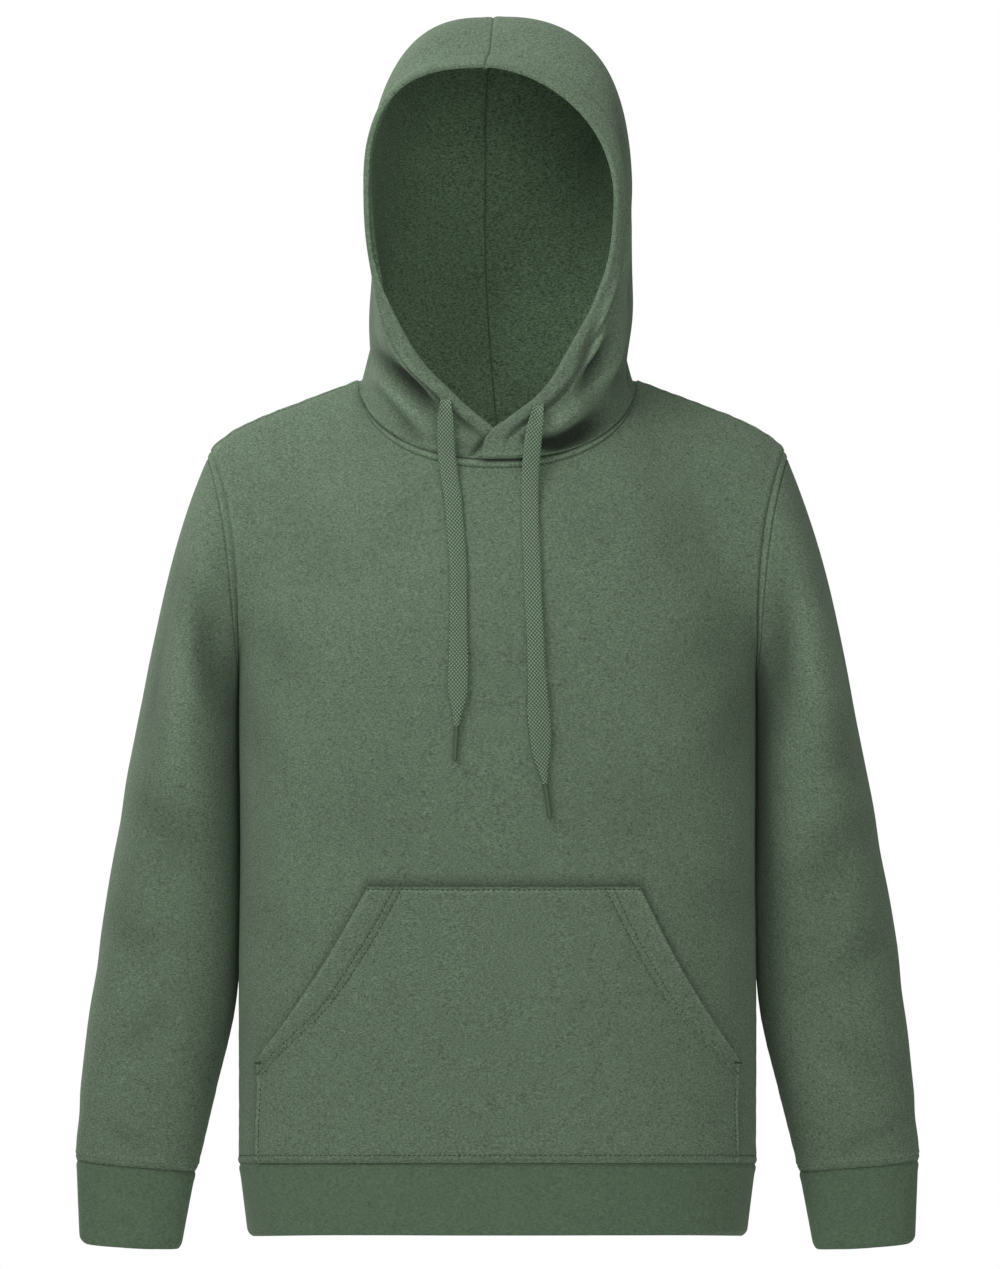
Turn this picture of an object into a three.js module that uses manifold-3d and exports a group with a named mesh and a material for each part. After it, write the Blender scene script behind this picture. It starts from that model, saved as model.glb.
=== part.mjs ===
// A pullover hoodie as it stands when it is filled out with no wearer in it: front and back panels, set-in
// sleeves with cuffs, a waistband, a kangaroo pocket, a two-piece hood and a flat drawcord.
// Millimetres. +Z is up, the front faces -Y, and left and right are the wearer's, so left is at +X.
// The origin is on the centre line, at the neck points' height, where the wearer's shoulders carry it.
import * as THREE from 'three';
import * as BufferGeometryUtils from 'three/addons/utils/BufferGeometryUtils.js';
import Module from 'manifold-3d';

const wasm = await Module();
wasm.setup();

// Cloth
const CLOTH = 2.0;
const RIB = 2.6;
const SEAM_GAP = 0.2;
const SLEEVE_CLEARANCE = 0.4;
const HOOD_CLEARANCE = 0.5;

// Body: sections of the torso, from the waistband seam up to the armpit
const HEM_Z = -634;
const ARMPIT_Z = -235;
const HEM_RISE = 7;
const TORSO_POWER = 2.6;
const TORSO = [
  { z: -634, half: 208.6, front: -122, back: 112, side: -12 },
  { z: -500, half: 208.5, front: -128, back: 116, side: -14 },
  { z: -380, half: 207.5, front: -129, back: 118, side: -16 },
  { z: -300, half: 208.0, front: -129, back: 120, side: -14 },
  { z: -235, half: 208.5, front: -127, back: 122, side: -8 },
];

// Shoulder, armhole and neck
const SHOULDER = { x: 232, y: 3, z: -57 };
const NECK_POINT = { x: 112, y: 5, z: 0 };
const SHOULDER_FALL = 45.5;
const NECK_FRONT = { y: -95, z: -66 };
const NECK_POWER = 2.15;
const ARMHOLE = { inner: 208.5, frontReach: 58, backReach: 64, power: 3 };
const YOKE = { leave: 0.8, arrive: 0.62, draw: 0.42 };

// Sleeve: level sections from below the armpit down to the cuff seam
const SLEEVE_POWER = 2.25;
const CUFF_SEAM_TILT = 4.5;
const SLEEVE = [
  { z: -290, outer: 294, inner: 208.5, front: -62, back: 102 },
  { z: -380, outer: 311, inner: 208.0, front: -56, back: 96 },
  { z: -450, outer: 322, inner: 208.5, front: -49, back: 82 },
  { z: -510, outer: 330, inner: 213.5, front: -44, back: 66 },
  { z: -570, outer: 337, inner: 227.5, front: -42, back: 50 },
  { z: -615, outer: 341, inner: 238.5, front: -36, back: 38 },
  { z: -636, outer: 341.5, inner: 244, front: -29, back: 31 },
];
const CUFF = { top: -636, bottom: -702, outer: 338.5, inner: 256, front: -22, back: 24 };
const CUFF_EDGE = { outer: 341, inner: 244.5, front: -28, back: 30 };

// Waistband
const BAND = { bottom: -693, half: 201.5, front: -117, back: 107, side: -12, rise: 8 };

// Hood: one row for each arch, from the face opening to the back neck seam
const HOOD = [
  { at: 0.0, y: -84, z: 249, right: 105, left: 95.5, wide: 0.7, crest: 0, foot: 2.3, crown: 2.3 },
  { at: 0.154, y: -63, z: 261, right: 107, left: 103, wide: 0.66, crest: 0, foot: 2.2, crown: 2.3 },
  { at: 0.27, y: -26, z: 287, right: 107.5, left: 109, wide: 0.6, crest: 2, foot: 2.1, crown: 2.35 },
  { at: 0.4, y: 20, z: 294, right: 107, left: 110, wide: 0.55, crest: 5, foot: 2.0, crown: 2.35 },
  { at: 0.53, y: 70, z: 272, right: 106, left: 108.5, wide: 0.5, crest: 9, foot: 2.0, crown: 2.3 },
  { at: 0.65, y: 104, z: 224, right: 104, left: 105.5, wide: 0.45, crest: 14, foot: 2.0, crown: 2.25 },
  { at: 0.76, y: 118, z: 160, right: 101, left: 102, wide: 0.4, crest: 20, foot: 2.0, crown: 2.2 },
  { at: 0.86, y: 110, z: 92, right: 100, left: 100, wide: 0.3, crest: 26, foot: 2.0, crown: 2.2 },
  { at: 0.94, y: 91, z: 30, right: 106, left: 106, wide: 0.15, crest: 28, foot: 2.0, crown: 2.15 },
  { at: 1.0, y: 75, z: -22, right: 112, left: 112, wide: 0.02, crest: 0, foot: 2.0, crown: 2.15 },
];
const RIM = { left: { crown: 1.9, wide: 0.645 }, right: { crown: 2.6, wide: 0.7 } };
const HEM_STEPS = 2;
const HEM_PLY = 1.2;
const HEM_EDGE = 0.12;
const LAP = { lift: 4.8, clear: 28, fade: 75, top: -30, gone: 8 };

// Pocket
const POCKET = { topZ: -407, topHalf: 108, centre: 5, lowZ: -545, side: 192, baseZ: -626, bow: 9 };
const POCKET_OFFSET = 0.35;
const POCKET_CUT = 200;

// Drawcord: each free end's middle line, from its hole in the hood's hem down to its tip
const CORD = { width: 14, thick: 3.2, tip: 5, sides: 8, taper: 30 };
const CORD_RIGHT = [
  [-41.5, -98, -20.5], [-41.5, -99, -35], [-41, -99, -50], [-40.5, -99, -61.5], [-39, -100.5, -73.5],
  [-37.5, -103, -84.5], [-35.5, -106, -96.5], [-34.5, -109, -108.5], [-33.5, -112, -120.5],
  [-32, -116, -138], [-31, -119.5, -155.5], [-31, -122.5, -173], [-31, -125.5, -190.5],
  [-31, -127.5, -208], [-31, -129, -225.5], [-31.5, -130, -242.5], [-31.5, -130.5, -260],
  [-32.5, -131, -279],
];
const CORD_LEFT = [
  [32.5, -103, -25.5], [30.5, -104.5, -37.5], [28.5, -105, -50], [27.5, -105, -61.5], [26.5, -105, -73.5],
  [26, -106.5, -91], [26, -110, -108.5], [26.5, -114, -126], [27.5, -117.5, -143.5], [28, -120.5, -161],
  [28.5, -123.5, -178.5], [29.5, -126, -196], [30.5, -128, -214], [31, -129.5, -231.5], [32, -130.5, -249],
  [32.5, -131, -266.5], [34, -131.5, -284], [35.5, -131.5, -307], [38, -131.5, -324.5],
];
const AGLET = { radius: 2, length: 27, sides: 10, gap: 0.3 };

// The largest soft folds, each along a line in the front or back view: a ridge where its depth is over 0
const FOLDS = {
  sleeve_right: [
    { x: -256, z: -139, toX: -268, toZ: -322, facing: -1, width: 20, depth: 3.5 },
    { x: -246, z: -151, toX: -218, toZ: -275, facing: -1, width: 15, depth: -5 },
    { x: -304, z: -330, toX: -240, toZ: -395, facing: -1, width: 18, depth: -3 },
    { x: -242, z: -150, toX: -224, toZ: -285, facing: 1, width: 20, depth: -6 },
    { x: -300, z: -350, toX: -238, toZ: -430, facing: 1, width: 18, depth: -4 },
  ],
  sleeve_left: [
    { x: 255, z: -172, toX: 267, toZ: -300, facing: -1, width: 18, depth: 3.5 },
    { x: 226, z: -150, toX: 219, toZ: -290, facing: -1, width: 14, depth: -5 },
    { x: 306, z: -345, toX: 246, toZ: -420, facing: -1, width: 18, depth: -3 },
    { x: 240, z: -140, toX: 222, toZ: -270, facing: 1, width: 22, depth: -6 },
    { x: 298, z: -380, toX: 236, toZ: -450, facing: 1, width: 16, depth: -4 },
  ],
  hood_left: [
    { x: 92, z: 70, toX: 48, toZ: -18, facing: -1, width: 12, depth: -4 },
    { x: 103, z: 40, toX: 72, toZ: -42, facing: -1, width: 12, depth: -4 },
    { x: 60, z: 40, toX: 20, toZ: -14, facing: 1, width: 22, depth: -4 },
  ],
  hood_right: [
    { x: -92, z: 30, toX: -60, toZ: -30, facing: -1, width: 14, depth: -3 },
    { x: -66, z: 46, toX: -24, toZ: -8, facing: 1, width: 22, depth: -4 },
  ],
  back: [
    { x: -176, z: -190, toX: -90, toZ: -300, facing: 1, width: 30, depth: -4 },
    { x: 170, z: -205, toX: 96, toZ: -290, facing: 1, width: 26, depth: -4 },
    { x: -120, z: -575, toX: 20, toZ: -545, facing: 1, width: 26, depth: -3 },
  ],
};

const FOLD_END = 0.12;

// Grid steps, shared by the pieces that meet at a seam
const NECK_STEPS = 24;
const SHOULDER_STEPS = 6;
const BODY_ROWS = 7;
const YOKE_ROWS = 10;
const SLEEVE_ROWS = 10;
const CAP_ROWS = 9;
const ARCH_STEPS = NECK_STEPS / 2;
const HOOD_STEPS = NECK_STEPS / 2 + 1;
const PANEL_STEPS = NECK_STEPS + 2 * SHOULDER_STEPS;

const GREEN = 0x5c7259;
const GREEN_DARK = 0x52674f;

const vec = (x, y, z) => new THREE.Vector3(x, y, z);
const power = (value, exponent) => Math.sign(value) * Math.abs(value) ** exponent;
const blend = (low, high, share) => low + (high - low) * share;
const smooth = (low, high, value) => THREE.MathUtils.smoothstep(value, low, high);

// One column of a table at a place between its rows, on a smooth curve through them
function column(table, key, name, place) {
  const last = table.length - 1;
  const rising = table[last][key] > table[0][key];
  let row = 0;
  while (row < last - 1 && (rising ? place > table[row + 1][key] : place < table[row + 1][key])) row += 1;
  const slope = (index) => {
    const before = table[Math.max(index - 1, 0)];
    const after = table[Math.min(index + 1, last)];
    return (after[name] - before[name]) / (after[key] - before[key]);
  };
  const span = table[row + 1][key] - table[row][key];
  const share = THREE.MathUtils.clamp((place - table[row][key]) / span, 0, 1);
  const [low, high] = [slope(row) * span, slope(row + 1) * span];
  return hermite(table[row][name], low, table[row + 1][name], high, share);
}

function hermite(start, startSlope, end, endSlope, share) {
  const s2 = share * share;
  const s3 = s2 * share;
  return (2 * s3 - 3 * s2 + 1) * start + (s3 - 2 * s2 + share) * startSlope
    + (3 * s2 - 2 * s3) * end + (s3 - s2) * endSlope;
}

function hermitePoint(start, startSlope, end, endSlope, share) {
  const axis = (name) => hermite(start[name], startSlope[name], end[name], endSlope[name], share);
  return vec(axis('x'), axis('y'), axis('z'));
}

// Seam curves

// Round the armhole: 0 at the shoulder point, a quarter turn at the front, half a turn at the armpit
function armhole(side, turn) {
  const z = blend(ARMPIT_Z, SHOULDER.z, (1 + Math.cos(turn)) / 2);
  const share = (z - ARMPIT_Z) / (SHOULDER.z - ARMPIT_Z);
  const middle = blend(TORSO[TORSO.length - 1].side, SHOULDER.y, share);
  const reach = Math.sin(turn) > 0 ? ARMHOLE.frontReach : ARMHOLE.backReach;
  const x = ARMHOLE.inner + (SHOULDER.x - ARMHOLE.inner) * Math.max(share, 0) ** ARMHOLE.power;
  return vec(side * x, middle - reach * Math.sin(turn), z);
}

function armholeNormal(side, turn) {
  const outward = 0.75 * Math.sqrt((1 + Math.cos(turn)) / 2);
  const around = Math.sqrt(1 - outward ** 2);
  return vec(side * outward, -around * Math.sin(turn), around * Math.cos(turn));
}

// From the neck point, 0, to the shoulder point, 1
function shoulder(side, share) {
  const end = SHOULDER.z + SHOULDER_FALL;
  return vec(
    side * blend(NECK_POINT.x, SHOULDER.x, share),
    blend(NECK_POINT.y, SHOULDER.y, share),
    -SHOULDER_FALL * share + end * share ** 8,
  );
}

// The front neck seam, from the right neck point, -1, over the centre front, 0, to the left one, 1
function neckFront(place) {
  const turn = (place * Math.PI) / 2;
  const drop = power(Math.cos(turn), 2 / NECK_POWER);
  return vec(
    NECK_POINT.x * power(Math.sin(turn), 2 / NECK_POWER),
    blend(NECK_POINT.y, NECK_FRONT.y, drop),
    blend(NECK_POINT.z, NECK_FRONT.z, drop),
  );
}

function neckNormal(point) {
  const flat = vec(point.x / NECK_POINT.x, (point.y - NECK_POINT.y) / 85, 0).normalize();
  flat.z = blend(0.75, point.y < NECK_POINT.y ? 0.1 : 0.35, Math.abs(flat.y));
  return flat.normalize();
}

// Torso: a section at a height, and a panel from side seam to side seam

function torsoSection(z, turn, facing) {
  const half = column(TORSO, 'z', 'half', z);
  const reach = column(TORSO, 'z', facing < 0 ? 'front' : 'back', z);
  const side = column(TORSO, 'z', 'side', z);
  const round = power(Math.sin(turn), 2 / TORSO_POWER);
  const low = (ARMPIT_Z - z) / (ARMPIT_Z - HEM_Z);
  const rise = facing < 0 ? HEM_RISE * round * low ** 3 : 0;
  return vec(-half * power(Math.cos(turn), 2 / TORSO_POWER), blend(side, reach, round), z + rise);
}

// The top edge of a panel: shoulder, neck, shoulder. Across runs from the right side, 0, to the left, 1
function topEdge(across, facing) {
  const place = ((across * PANEL_STEPS - SHOULDER_STEPS) / NECK_STEPS) * 2 - 1;
  const beyond = ((Math.abs(place) - 1) / 2) * (NECK_STEPS / SHOULDER_STEPS);
  if (beyond > 0) return shoulder(Math.sign(place), beyond);
  return facing < 0 ? neckFront(place) : hoodPoint(place < 0 ? -1 : 1, 1, 1 - Math.abs(place));
}

// The direction in which a panel runs into its top edge
function topRun(across, facing) {
  const centre = Math.abs(across * 2 - 1) * (1 + (2 * SHOULDER_STEPS) / NECK_STEPS);
  const steep = 1 - smooth(0, 1.05, centre);
  const low = facing < 0 ? 0.36 : 0.66;
  return vec(0, -facing * blend(0.985, low, steep), blend(0.17, 0.93, steep)).normalize();
}

// The yoke: columns that rise from the chest section and turn over to the top edge, drawn to the armholes
function yoke(across, up, facing) {
  const plain = (place) => {
    const start = torsoSection(ARMPIT_Z, place * Math.PI, facing);
    const end = topEdge(place, facing);
    const length = start.distanceTo(end);
    const leave = vec(0, 0, length * YOKE.leave);
    return hermitePoint(start, leave, end, topRun(place, facing).multiplyScalar(length * YOKE.arrive), up);
  };
  const point = plain(across);
  [[0, -1, across], [1, 1, 1 - across]].forEach(([edge, side, distance]) => {
    const pull = Math.max(1 - distance / YOKE.draw, 0) ** 3;
    const seam = armhole(side, -facing * Math.PI * (1 - up));
    point.add(seam.sub(plain(edge)).multiplyScalar(pull));
  });
  return point;
}

function panelPoint(across, row, facing) {
  if (row > BODY_ROWS) return yoke(across, (row - BODY_ROWS) / YOKE_ROWS, facing);
  return torsoSection(blend(HEM_Z, ARMPIT_Z, row / BODY_ROWS), across * Math.PI, facing);
}

// Sleeve: turn 0 at the outside, a quarter turn at the front, half a turn beside the body

function sleeveSection(side, z, turn) {
  const outer = column(SLEEVE, 'z', 'outer', z);
  const inner = column(SLEEVE, 'z', 'inner', z);
  const front = column(SLEEVE, 'z', 'front', z);
  const back = column(SLEEVE, 'z', 'back', z);
  return ringPoint({ outer, inner, front, back }, side, z, turn, SLEEVE_POWER);
}

function ringPoint(ring, side, z, turn, exponent) {
  const out = (1 + power(Math.cos(turn), 2 / exponent)) / 2;
  const forward = (1 + power(Math.sin(turn), 2 / exponent)) / 2;
  return vec(side * blend(ring.inner, ring.outer, out), blend(ring.back, ring.front, forward), z);
}

// The cap turns from the armhole into the first level section
function sleevePoint(side, turn, row) {
  const top = SLEEVE[0].z;
  if (row < CAP_ROWS) {
    const start = armhole(side, turn);
    start.x += side * SLEEVE_CLEARANCE;
    const end = sleeveSection(side, top, turn);
    const below = sleeveSection(side, top - 15, turn);
    const length = start.distanceTo(end);
    const swell = Math.sin(turn) ** 2;
    const leave = vec(
      side * (0.22 * (1 + Math.cos(turn)) + 0.5 * swell + 0.02),
      -0.25 * Math.sin(turn),
      -1 + 0.35 * swell,
    ).normalize().multiplyScalar(length);
    const arrive = below.sub(end).normalize().multiplyScalar(length);
    return hermitePoint(start, leave, end, arrive, row / CAP_ROWS);
  }
  const share = (row - CAP_ROWS) / SLEEVE_ROWS;
  const z = blend(top, CUFF.top, share);
  const point = sleeveSection(side, z, turn);
  point.z += CUFF_SEAM_TILT * Math.cos(turn) * share;
  return point;
}

function cuffPoint(side, turn, share) {
  const ring = {};
  Object.keys(CUFF_EDGE).forEach((name) => { ring[name] = blend(CUFF_EDGE[name], CUFF[name], share); });
  const point = ringPoint(ring, side, blend(CUFF.top, CUFF.bottom, share), turn, SLEEVE_POWER);
  point.z += CUFF_SEAM_TILT * Math.cos(turn) * (1 - share / 2);
  return point;
}

// Hood half: along runs from the face opening, 0, to the back neck, 1, and up from the neck seam, 0, to the
// centre seam, 1. Each arch stands on its foot, widens to its widest part and rounds over to the seam
function hoodPoint(side, along, up) {
  const hand = side > 0 ? 'left' : 'right';
  const value = (name) => column(HOOD, 'at', name, along);
  const away = smooth(0, 0.22, along);
  const foot = neckFront(side * blend(-1 / (NECK_STEPS / 2), 1, along));
  const base = vec(0, foot.y, foot.z);
  const rise = vec(0, value('y'), value('z')).sub(base);
  const half = value(hand);
  const wide = blend(RIM[hand].wide, value('wide'), away);
  const crown = blend(RIM[hand].crown, value('crown'), away);
  const widest = wide / (wide + 1.15 * (1 - wide));
  let height = wide;
  let reach = half;
  if (up < widest) {
    height = wide * (up / widest);
    reach = blend(side * foot.x, half, 1 - (1 - up / widest) ** value('foot'));
  } else {
    const turn = ((up - widest) / (1 - widest)) * (Math.PI / 2);
    height = wide + (1 - wide) * power(Math.sin(turn), 2 / crown);
    reach = half * power(Math.max(Math.cos(turn), 0), 2 / crown);
  }
  const crest = value('crest') * power(Math.sin(Math.PI * up), 0.6);
  return vec(side * reach, base.y + rise.y * height, base.z + rise.z * height + crest);
}

// The left half laps over the right one at the centre front
function lapLift(side, point) {
  if (side < 0 || point.y > 0) return 0;
  const low = 1 - smooth(LAP.top, LAP.gone, point.z);
  return LAP.lift * low * (1 - smooth(LAP.clear, LAP.fade, point.x));
}

// Walls

const grid = (rows, columns, pointAt) => Array.from(
  { length: rows },
  (_, row) => Array.from({ length: columns }, (__, place) => pointAt(row, place)),
);

// Outward directions of a grid's points, from their neighbours. Facing says which side is out
function normalsOf(points, wraps, facing) {
  const rows = points.length;
  const columns = points[0].length;
  return grid(rows, columns, (row, place) => {
    const before = wraps ? (place + columns - 1) % columns : Math.max(place - 1, 0);
    const after = wraps ? (place + 1) % columns : Math.min(place + 1, columns - 1);
    const above = Math.min(row + 1, rows - 1);
    const below = Math.max(row - 1, 0);
    const across = points[row][after].clone().sub(points[row][before]);
    const along = points[above][place].clone().sub(points[below][place]);
    return across.cross(along).multiplyScalar(facing).normalize();
  });
}

// Moves an edge's points back from the seam, towards the next row or column
function pullBack(points, edges) {
  const last = points.length - 1;
  const end = points[0].length - 1;
  const moves = [];
  points.forEach((line, row) => line.forEach((point, place) => {
    const towards = [];
    if (edges.first && row === 0) towards.push(points[1][place]);
    if (edges.last && row === last) towards.push(points[last - 1][place]);
    if (edges.left && place === 0) towards.push(line[1]);
    if (edges.right && place === end) towards.push(line[end - 1]);
    towards.forEach((next) => {
      moves.push([point, next.clone().sub(point).normalize().multiplyScalar(SEAM_GAP)]);
    });
  }));
  moves.forEach(([point, move]) => point.add(move));
}

// A closed wall between an outer grid and an inner one, with its open edges turned over. Each cell is split
// one way all over, or along its shorter diagonal
function wallGeometry(outer, inner, wraps, shorter = false) {
  const rows = outer.length;
  const columns = outer[0].length;
  const positions = [...outer.flat(), ...inner.flat()].flatMap((point) => point.toArray());
  const inside = rows * columns;
  const index = [];
  const at = outer.flat();
  const quad = (a, b, c, d) => index.push(a, b, c, a, c, d);
  const spans = wraps ? columns : columns - 1;
  for (let row = 0; row < rows; row += 1) {
    for (let place = 0; place < spans; place += 1) {
      const here = row * columns + place;
      const next = row * columns + ((place + 1) % columns);
      if (row < rows - 1) {
        const [a, b, c, d] = [here, next, next + columns, here + columns];
        const turned = shorter && at[a].distanceTo(at[c]) > at[b].distanceTo(at[d]);
        const cell = turned ? [b, c, d, a] : [a, b, c, d];
        quad(...cell);
        const [e, f, g, h] = cell.map((place) => inside + place);
        quad(e, h, g, f);
      }
      if (row === 0) quad(next, here, inside + here, inside + next);
      if (row === rows - 1) quad(here, next, inside + next, inside + here);
    }
    if (!wraps && row < rows - 1) {
      const start = row * columns;
      const end = start + columns - 1;
      quad(start, start + columns, inside + start + columns, inside + start);
      quad(end + columns, end, inside + end, inside + end + columns);
    }
  }
  return outwardGeometry(positions, index);
}

// Turns the faces round where the mesh is inside out
function outwardGeometry(positions, index) {
  let volume = 0;
  const corner = (place) => vec(...positions.slice(3 * index[place], 3 * index[place] + 3));
  for (let place = 0; place < index.length; place += 3) {
    volume += corner(place).dot(corner(place + 1).cross(corner(place + 2)));
  }
  const geometry = new THREE.BufferGeometry();
  geometry.setAttribute('position', new THREE.Float32BufferAttribute(positions, 3));
  geometry.setIndex(volume < 0 ? index.reverse() : index);
  geometry.computeVertexNormals();
  return geometry;
}

// Moves a piece's points out or in by its folds, each a soft bell across its line that fades at both ends
function addFolds(name, points, normals) {
  points.forEach((line, row) => line.forEach((point, place) => {
    const normal = normals[row][place];
    const depth = (FOLDS[name] ?? []).reduce((sum, fold) => {
      const run = vec(fold.toX - fold.x, 0, fold.toZ - fold.z);
      const offset = vec(point.x - fold.x, 0, point.z - fold.z);
      const share = THREE.MathUtils.clamp(offset.dot(run) / run.lengthSq(), 0, 1);
      const distance = offset.addScaledVector(run, -share).length();
      const turned = smooth(0, 0.4, normal.y * fold.facing);
      const fading = Math.sin(Math.PI * blend(FOLD_END, 1 - FOLD_END, share));
      return sum + fold.depth * turned * fading * Math.exp(-((distance / fold.width) ** 2));
    }, 0);
    const edge = Math.min(row, points.length - 1 - row, 1);
    point.addScaledVector(normal, depth * edge);
  }));
}

const movedIn = (points, normals, depth) => grid(
  points.length,
  points[0].length,
  (row, place) => points[row][place].clone().addScaledVector(normals[row][place], -depth),
);

const hoodie = new THREE.Group();

function addPiece(name, geometry, colour, roughness) {
  const material = new THREE.MeshStandardMaterial({ color: colour, roughness, metalness: 0 });
  const mesh = new THREE.Mesh(geometry, material);
  mesh.name = name;
  hoodie.add(mesh);
}

// Front and back panels

function addPanel(name, facing) {
  const rows = BODY_ROWS + YOKE_ROWS;
  const steps = PANEL_STEPS;
  const points = grid(rows + 1, steps + 1, (row, place) => panelPoint(place / steps, row, facing));
  const normals = normalsOf(points, false, facing < 0 ? 1 : -1);
  points.forEach((line, row) => {
    [[0, -1], [steps, 1]].forEach(([place, side]) => {
      const turn = (-facing * Math.PI * (rows - row)) / YOKE_ROWS;
      normals[row][place] = row < BODY_ROWS ? vec(side, 0, 0) : armholeNormal(side, turn);
    });
  });
  for (let place = 1; place < steps; place += 1) {
    normals[0][place].setZ(0).normalize();
    const onShoulder = place < SHOULDER_STEPS || place > steps - SHOULDER_STEPS;
    const side = place < steps / 2 ? -1 : 1;
    normals[rows][place] = onShoulder ? vec(side * 0.43, 0, 0.9) : neckNormal(points[rows][place]);
  }
  pullBack(points, { first: true, last: true, left: true, right: true });
  addFolds(name, points, normals);
  addPiece(name, wallGeometry(points, movedIn(points, normals, CLOTH), false), GREEN, 0.92);
  return { points, normals };
}

// Sleeves and cuffs

function addSleeve(name, side) {
  const rows = CAP_ROWS + SLEEVE_ROWS;
  const turns = 2 * YOKE_ROWS;
  const turnAt = (place) => (2 * Math.PI * place) / turns;
  const points = grid(rows + 1, turns, (row, place) => sleevePoint(side, turnAt(place), row));
  const normals = normalsOf(points, true, side);
  normals[0] = normals[0].map((_, place) => armholeNormal(side, turnAt(place)));
  normals[rows].forEach((normal) => normal.setZ(0).normalize());
  pullBack(points, { first: true, last: true });
  addFolds(name, points, normals);
  addPiece(name, wallGeometry(points, movedIn(points, normals, CLOTH), true), GREEN, 0.92);
}

function addCuff(name, side) {
  const rows = 3;
  const turns = 2 * YOKE_ROWS;
  const turnAt = (place) => (2 * Math.PI * place) / turns;
  const points = grid(rows + 1, turns, (row, place) => cuffPoint(side, turnAt(place), row / rows));
  const normals = normalsOf(points, true, side);
  normals.flat().forEach((normal) => normal.setZ(0).normalize());
  pullBack(points, { first: true });
  addPiece(name, wallGeometry(points, movedIn(points, normals, RIB), true), GREEN_DARK, 0.9);
}

// Waistband, with the panels' own points along its top

function bandPoint(turn, share) {
  const facing = turn < Math.PI ? -1 : 1;
  const top = torsoSection(HEM_Z, turn % Math.PI, facing);
  if (facing > 0) top.x *= -1;
  const round = power(Math.abs(Math.sin(turn)), 2 / TORSO_POWER);
  const bottom = vec(
    -BAND.half * power(Math.cos(turn), 2 / TORSO_POWER),
    blend(BAND.side, facing < 0 ? BAND.front : BAND.back, round),
    BAND.bottom + (facing < 0 ? BAND.rise * round : 0),
  );
  return top.lerp(bottom, share);
}

function addWaistband() {
  const rows = 2;
  const turns = 2 * PANEL_STEPS;
  const turnAt = (place) => (2 * Math.PI * place) / turns;
  const points = grid(rows + 1, turns, (row, place) => bandPoint(turnAt(place), row / rows));
  const normals = normalsOf(points, true, -1);
  normals.flat().forEach((normal) => normal.setZ(0).normalize());
  pullBack(points, { first: true });
  addPiece('waistband', wallGeometry(points, movedIn(points, normals, RIB), true), GREEN_DARK, 0.9);
}

// Hood halves, with a second ply along the face opening

function addHood(name, side) {
  const steps = HOOD_STEPS;
  const points = grid(steps + 1, ARCH_STEPS + 1, (row, place) => (
    hoodPoint(side, row / steps, place / ARCH_STEPS)));
  const normals = normalsOf(points, false, -side);
  points.forEach((line, row) => {
    normals[row][0] = neckNormal(line[0]);
    normals[row][ARCH_STEPS].setX(0).normalize();
  });
  normals[steps] = points[steps].map(neckNormal);
  pullBack(points, { right: true });
  addFolds(name, points, normals);
  points.forEach((line, row) => line.forEach((point, place) => {
    point.addScaledVector(normals[row][place], lapLift(side, point));
    if (place === 0 || row === steps) point.z += HOOD_CLEARANCE;
  }));
  const inner = movedIn(points, normals, CLOTH);
  const outer = movedIn(points, normals, 0);
  for (let row = 0; row <= HEM_STEPS; row += 1) {
    outer[row].forEach((point, place) => point.addScaledVector(normals[row][place], HEM_PLY));
  }
  const beyond = (lines) => lines[HEM_STEPS].map((point, place) => (
    point.clone().lerp(lines[HEM_STEPS + 1][place], HEM_EDGE)));
  const [edge, edgeInside] = [beyond(points), beyond(inner)];
  outer.splice(HEM_STEPS + 1, 0, edge);
  inner.splice(HEM_STEPS + 1, 0, edgeInside);
  addPiece(name, wallGeometry(outer, inner, false, true), GREEN, 0.92);
}

// Pocket: a sheet of the front panel's own points, moved out and cut to the pocket's outline

function toSolid(geometry) {
  const bare = geometry.clone();
  bare.deleteAttribute('normal');
  bare.deleteAttribute('uv');
  const merged = BufferGeometryUtils.mergeVertices(bare);
  return new wasm.Manifold(new wasm.Mesh({
    numProp: 3,
    vertProperties: merged.attributes.position.array,
    triVerts: new Uint32Array(merged.index.array),
  }));
}

function toGeometry(solid) {
  const mesh = solid.getMesh();
  const geometry = new THREE.BufferGeometry();
  geometry.setAttribute('position', new THREE.BufferAttribute(mesh.vertProperties, 3));
  geometry.setIndex(new THREE.BufferAttribute(mesh.triVerts, 1));
  geometry.computeVertexNormals();
  return geometry;
}

function pocketOutline() {
  const shape = new THREE.Shape();
  const bend = (side) => [
    side * (POCKET.side + POCKET.topHalf) / 2 + POCKET.centre / 2 - side * POCKET.bow,
    (POCKET.lowZ + POCKET.topZ) / 2,
  ];
  shape.moveTo(-POCKET.side, POCKET.baseZ);
  shape.lineTo(POCKET.side, POCKET.baseZ);
  shape.lineTo(POCKET.side, POCKET.lowZ);
  shape.quadraticCurveTo(...bend(1), POCKET.centre + POCKET.topHalf, POCKET.topZ);
  shape.lineTo(POCKET.centre - POCKET.topHalf, POCKET.topZ);
  shape.quadraticCurveTo(...bend(-1), -POCKET.side, POCKET.lowZ);
  shape.closePath();
  return shape;
}

function addPocket(front) {
  const rows = front.points.findIndex((line) => line[0].z > POCKET.topZ) + 2;
  const layer = (distance) => movedIn(front.points.slice(0, rows), front.normals.slice(0, rows), -distance);
  const sheet = toSolid(wallGeometry(layer(POCKET_OFFSET + CLOTH), layer(POCKET_OFFSET), false));
  const through = { depth: POCKET_CUT, bevelEnabled: false, curveSegments: 6 };
  const cutter = new THREE.ExtrudeGeometry(pocketOutline(), through);
  cutter.rotateX(Math.PI / 2);
  addPiece('pocket', toGeometry(sheet.intersect(toSolid(cutter))), GREEN, 0.92);
}

// Drawcord ends and their tips

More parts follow.
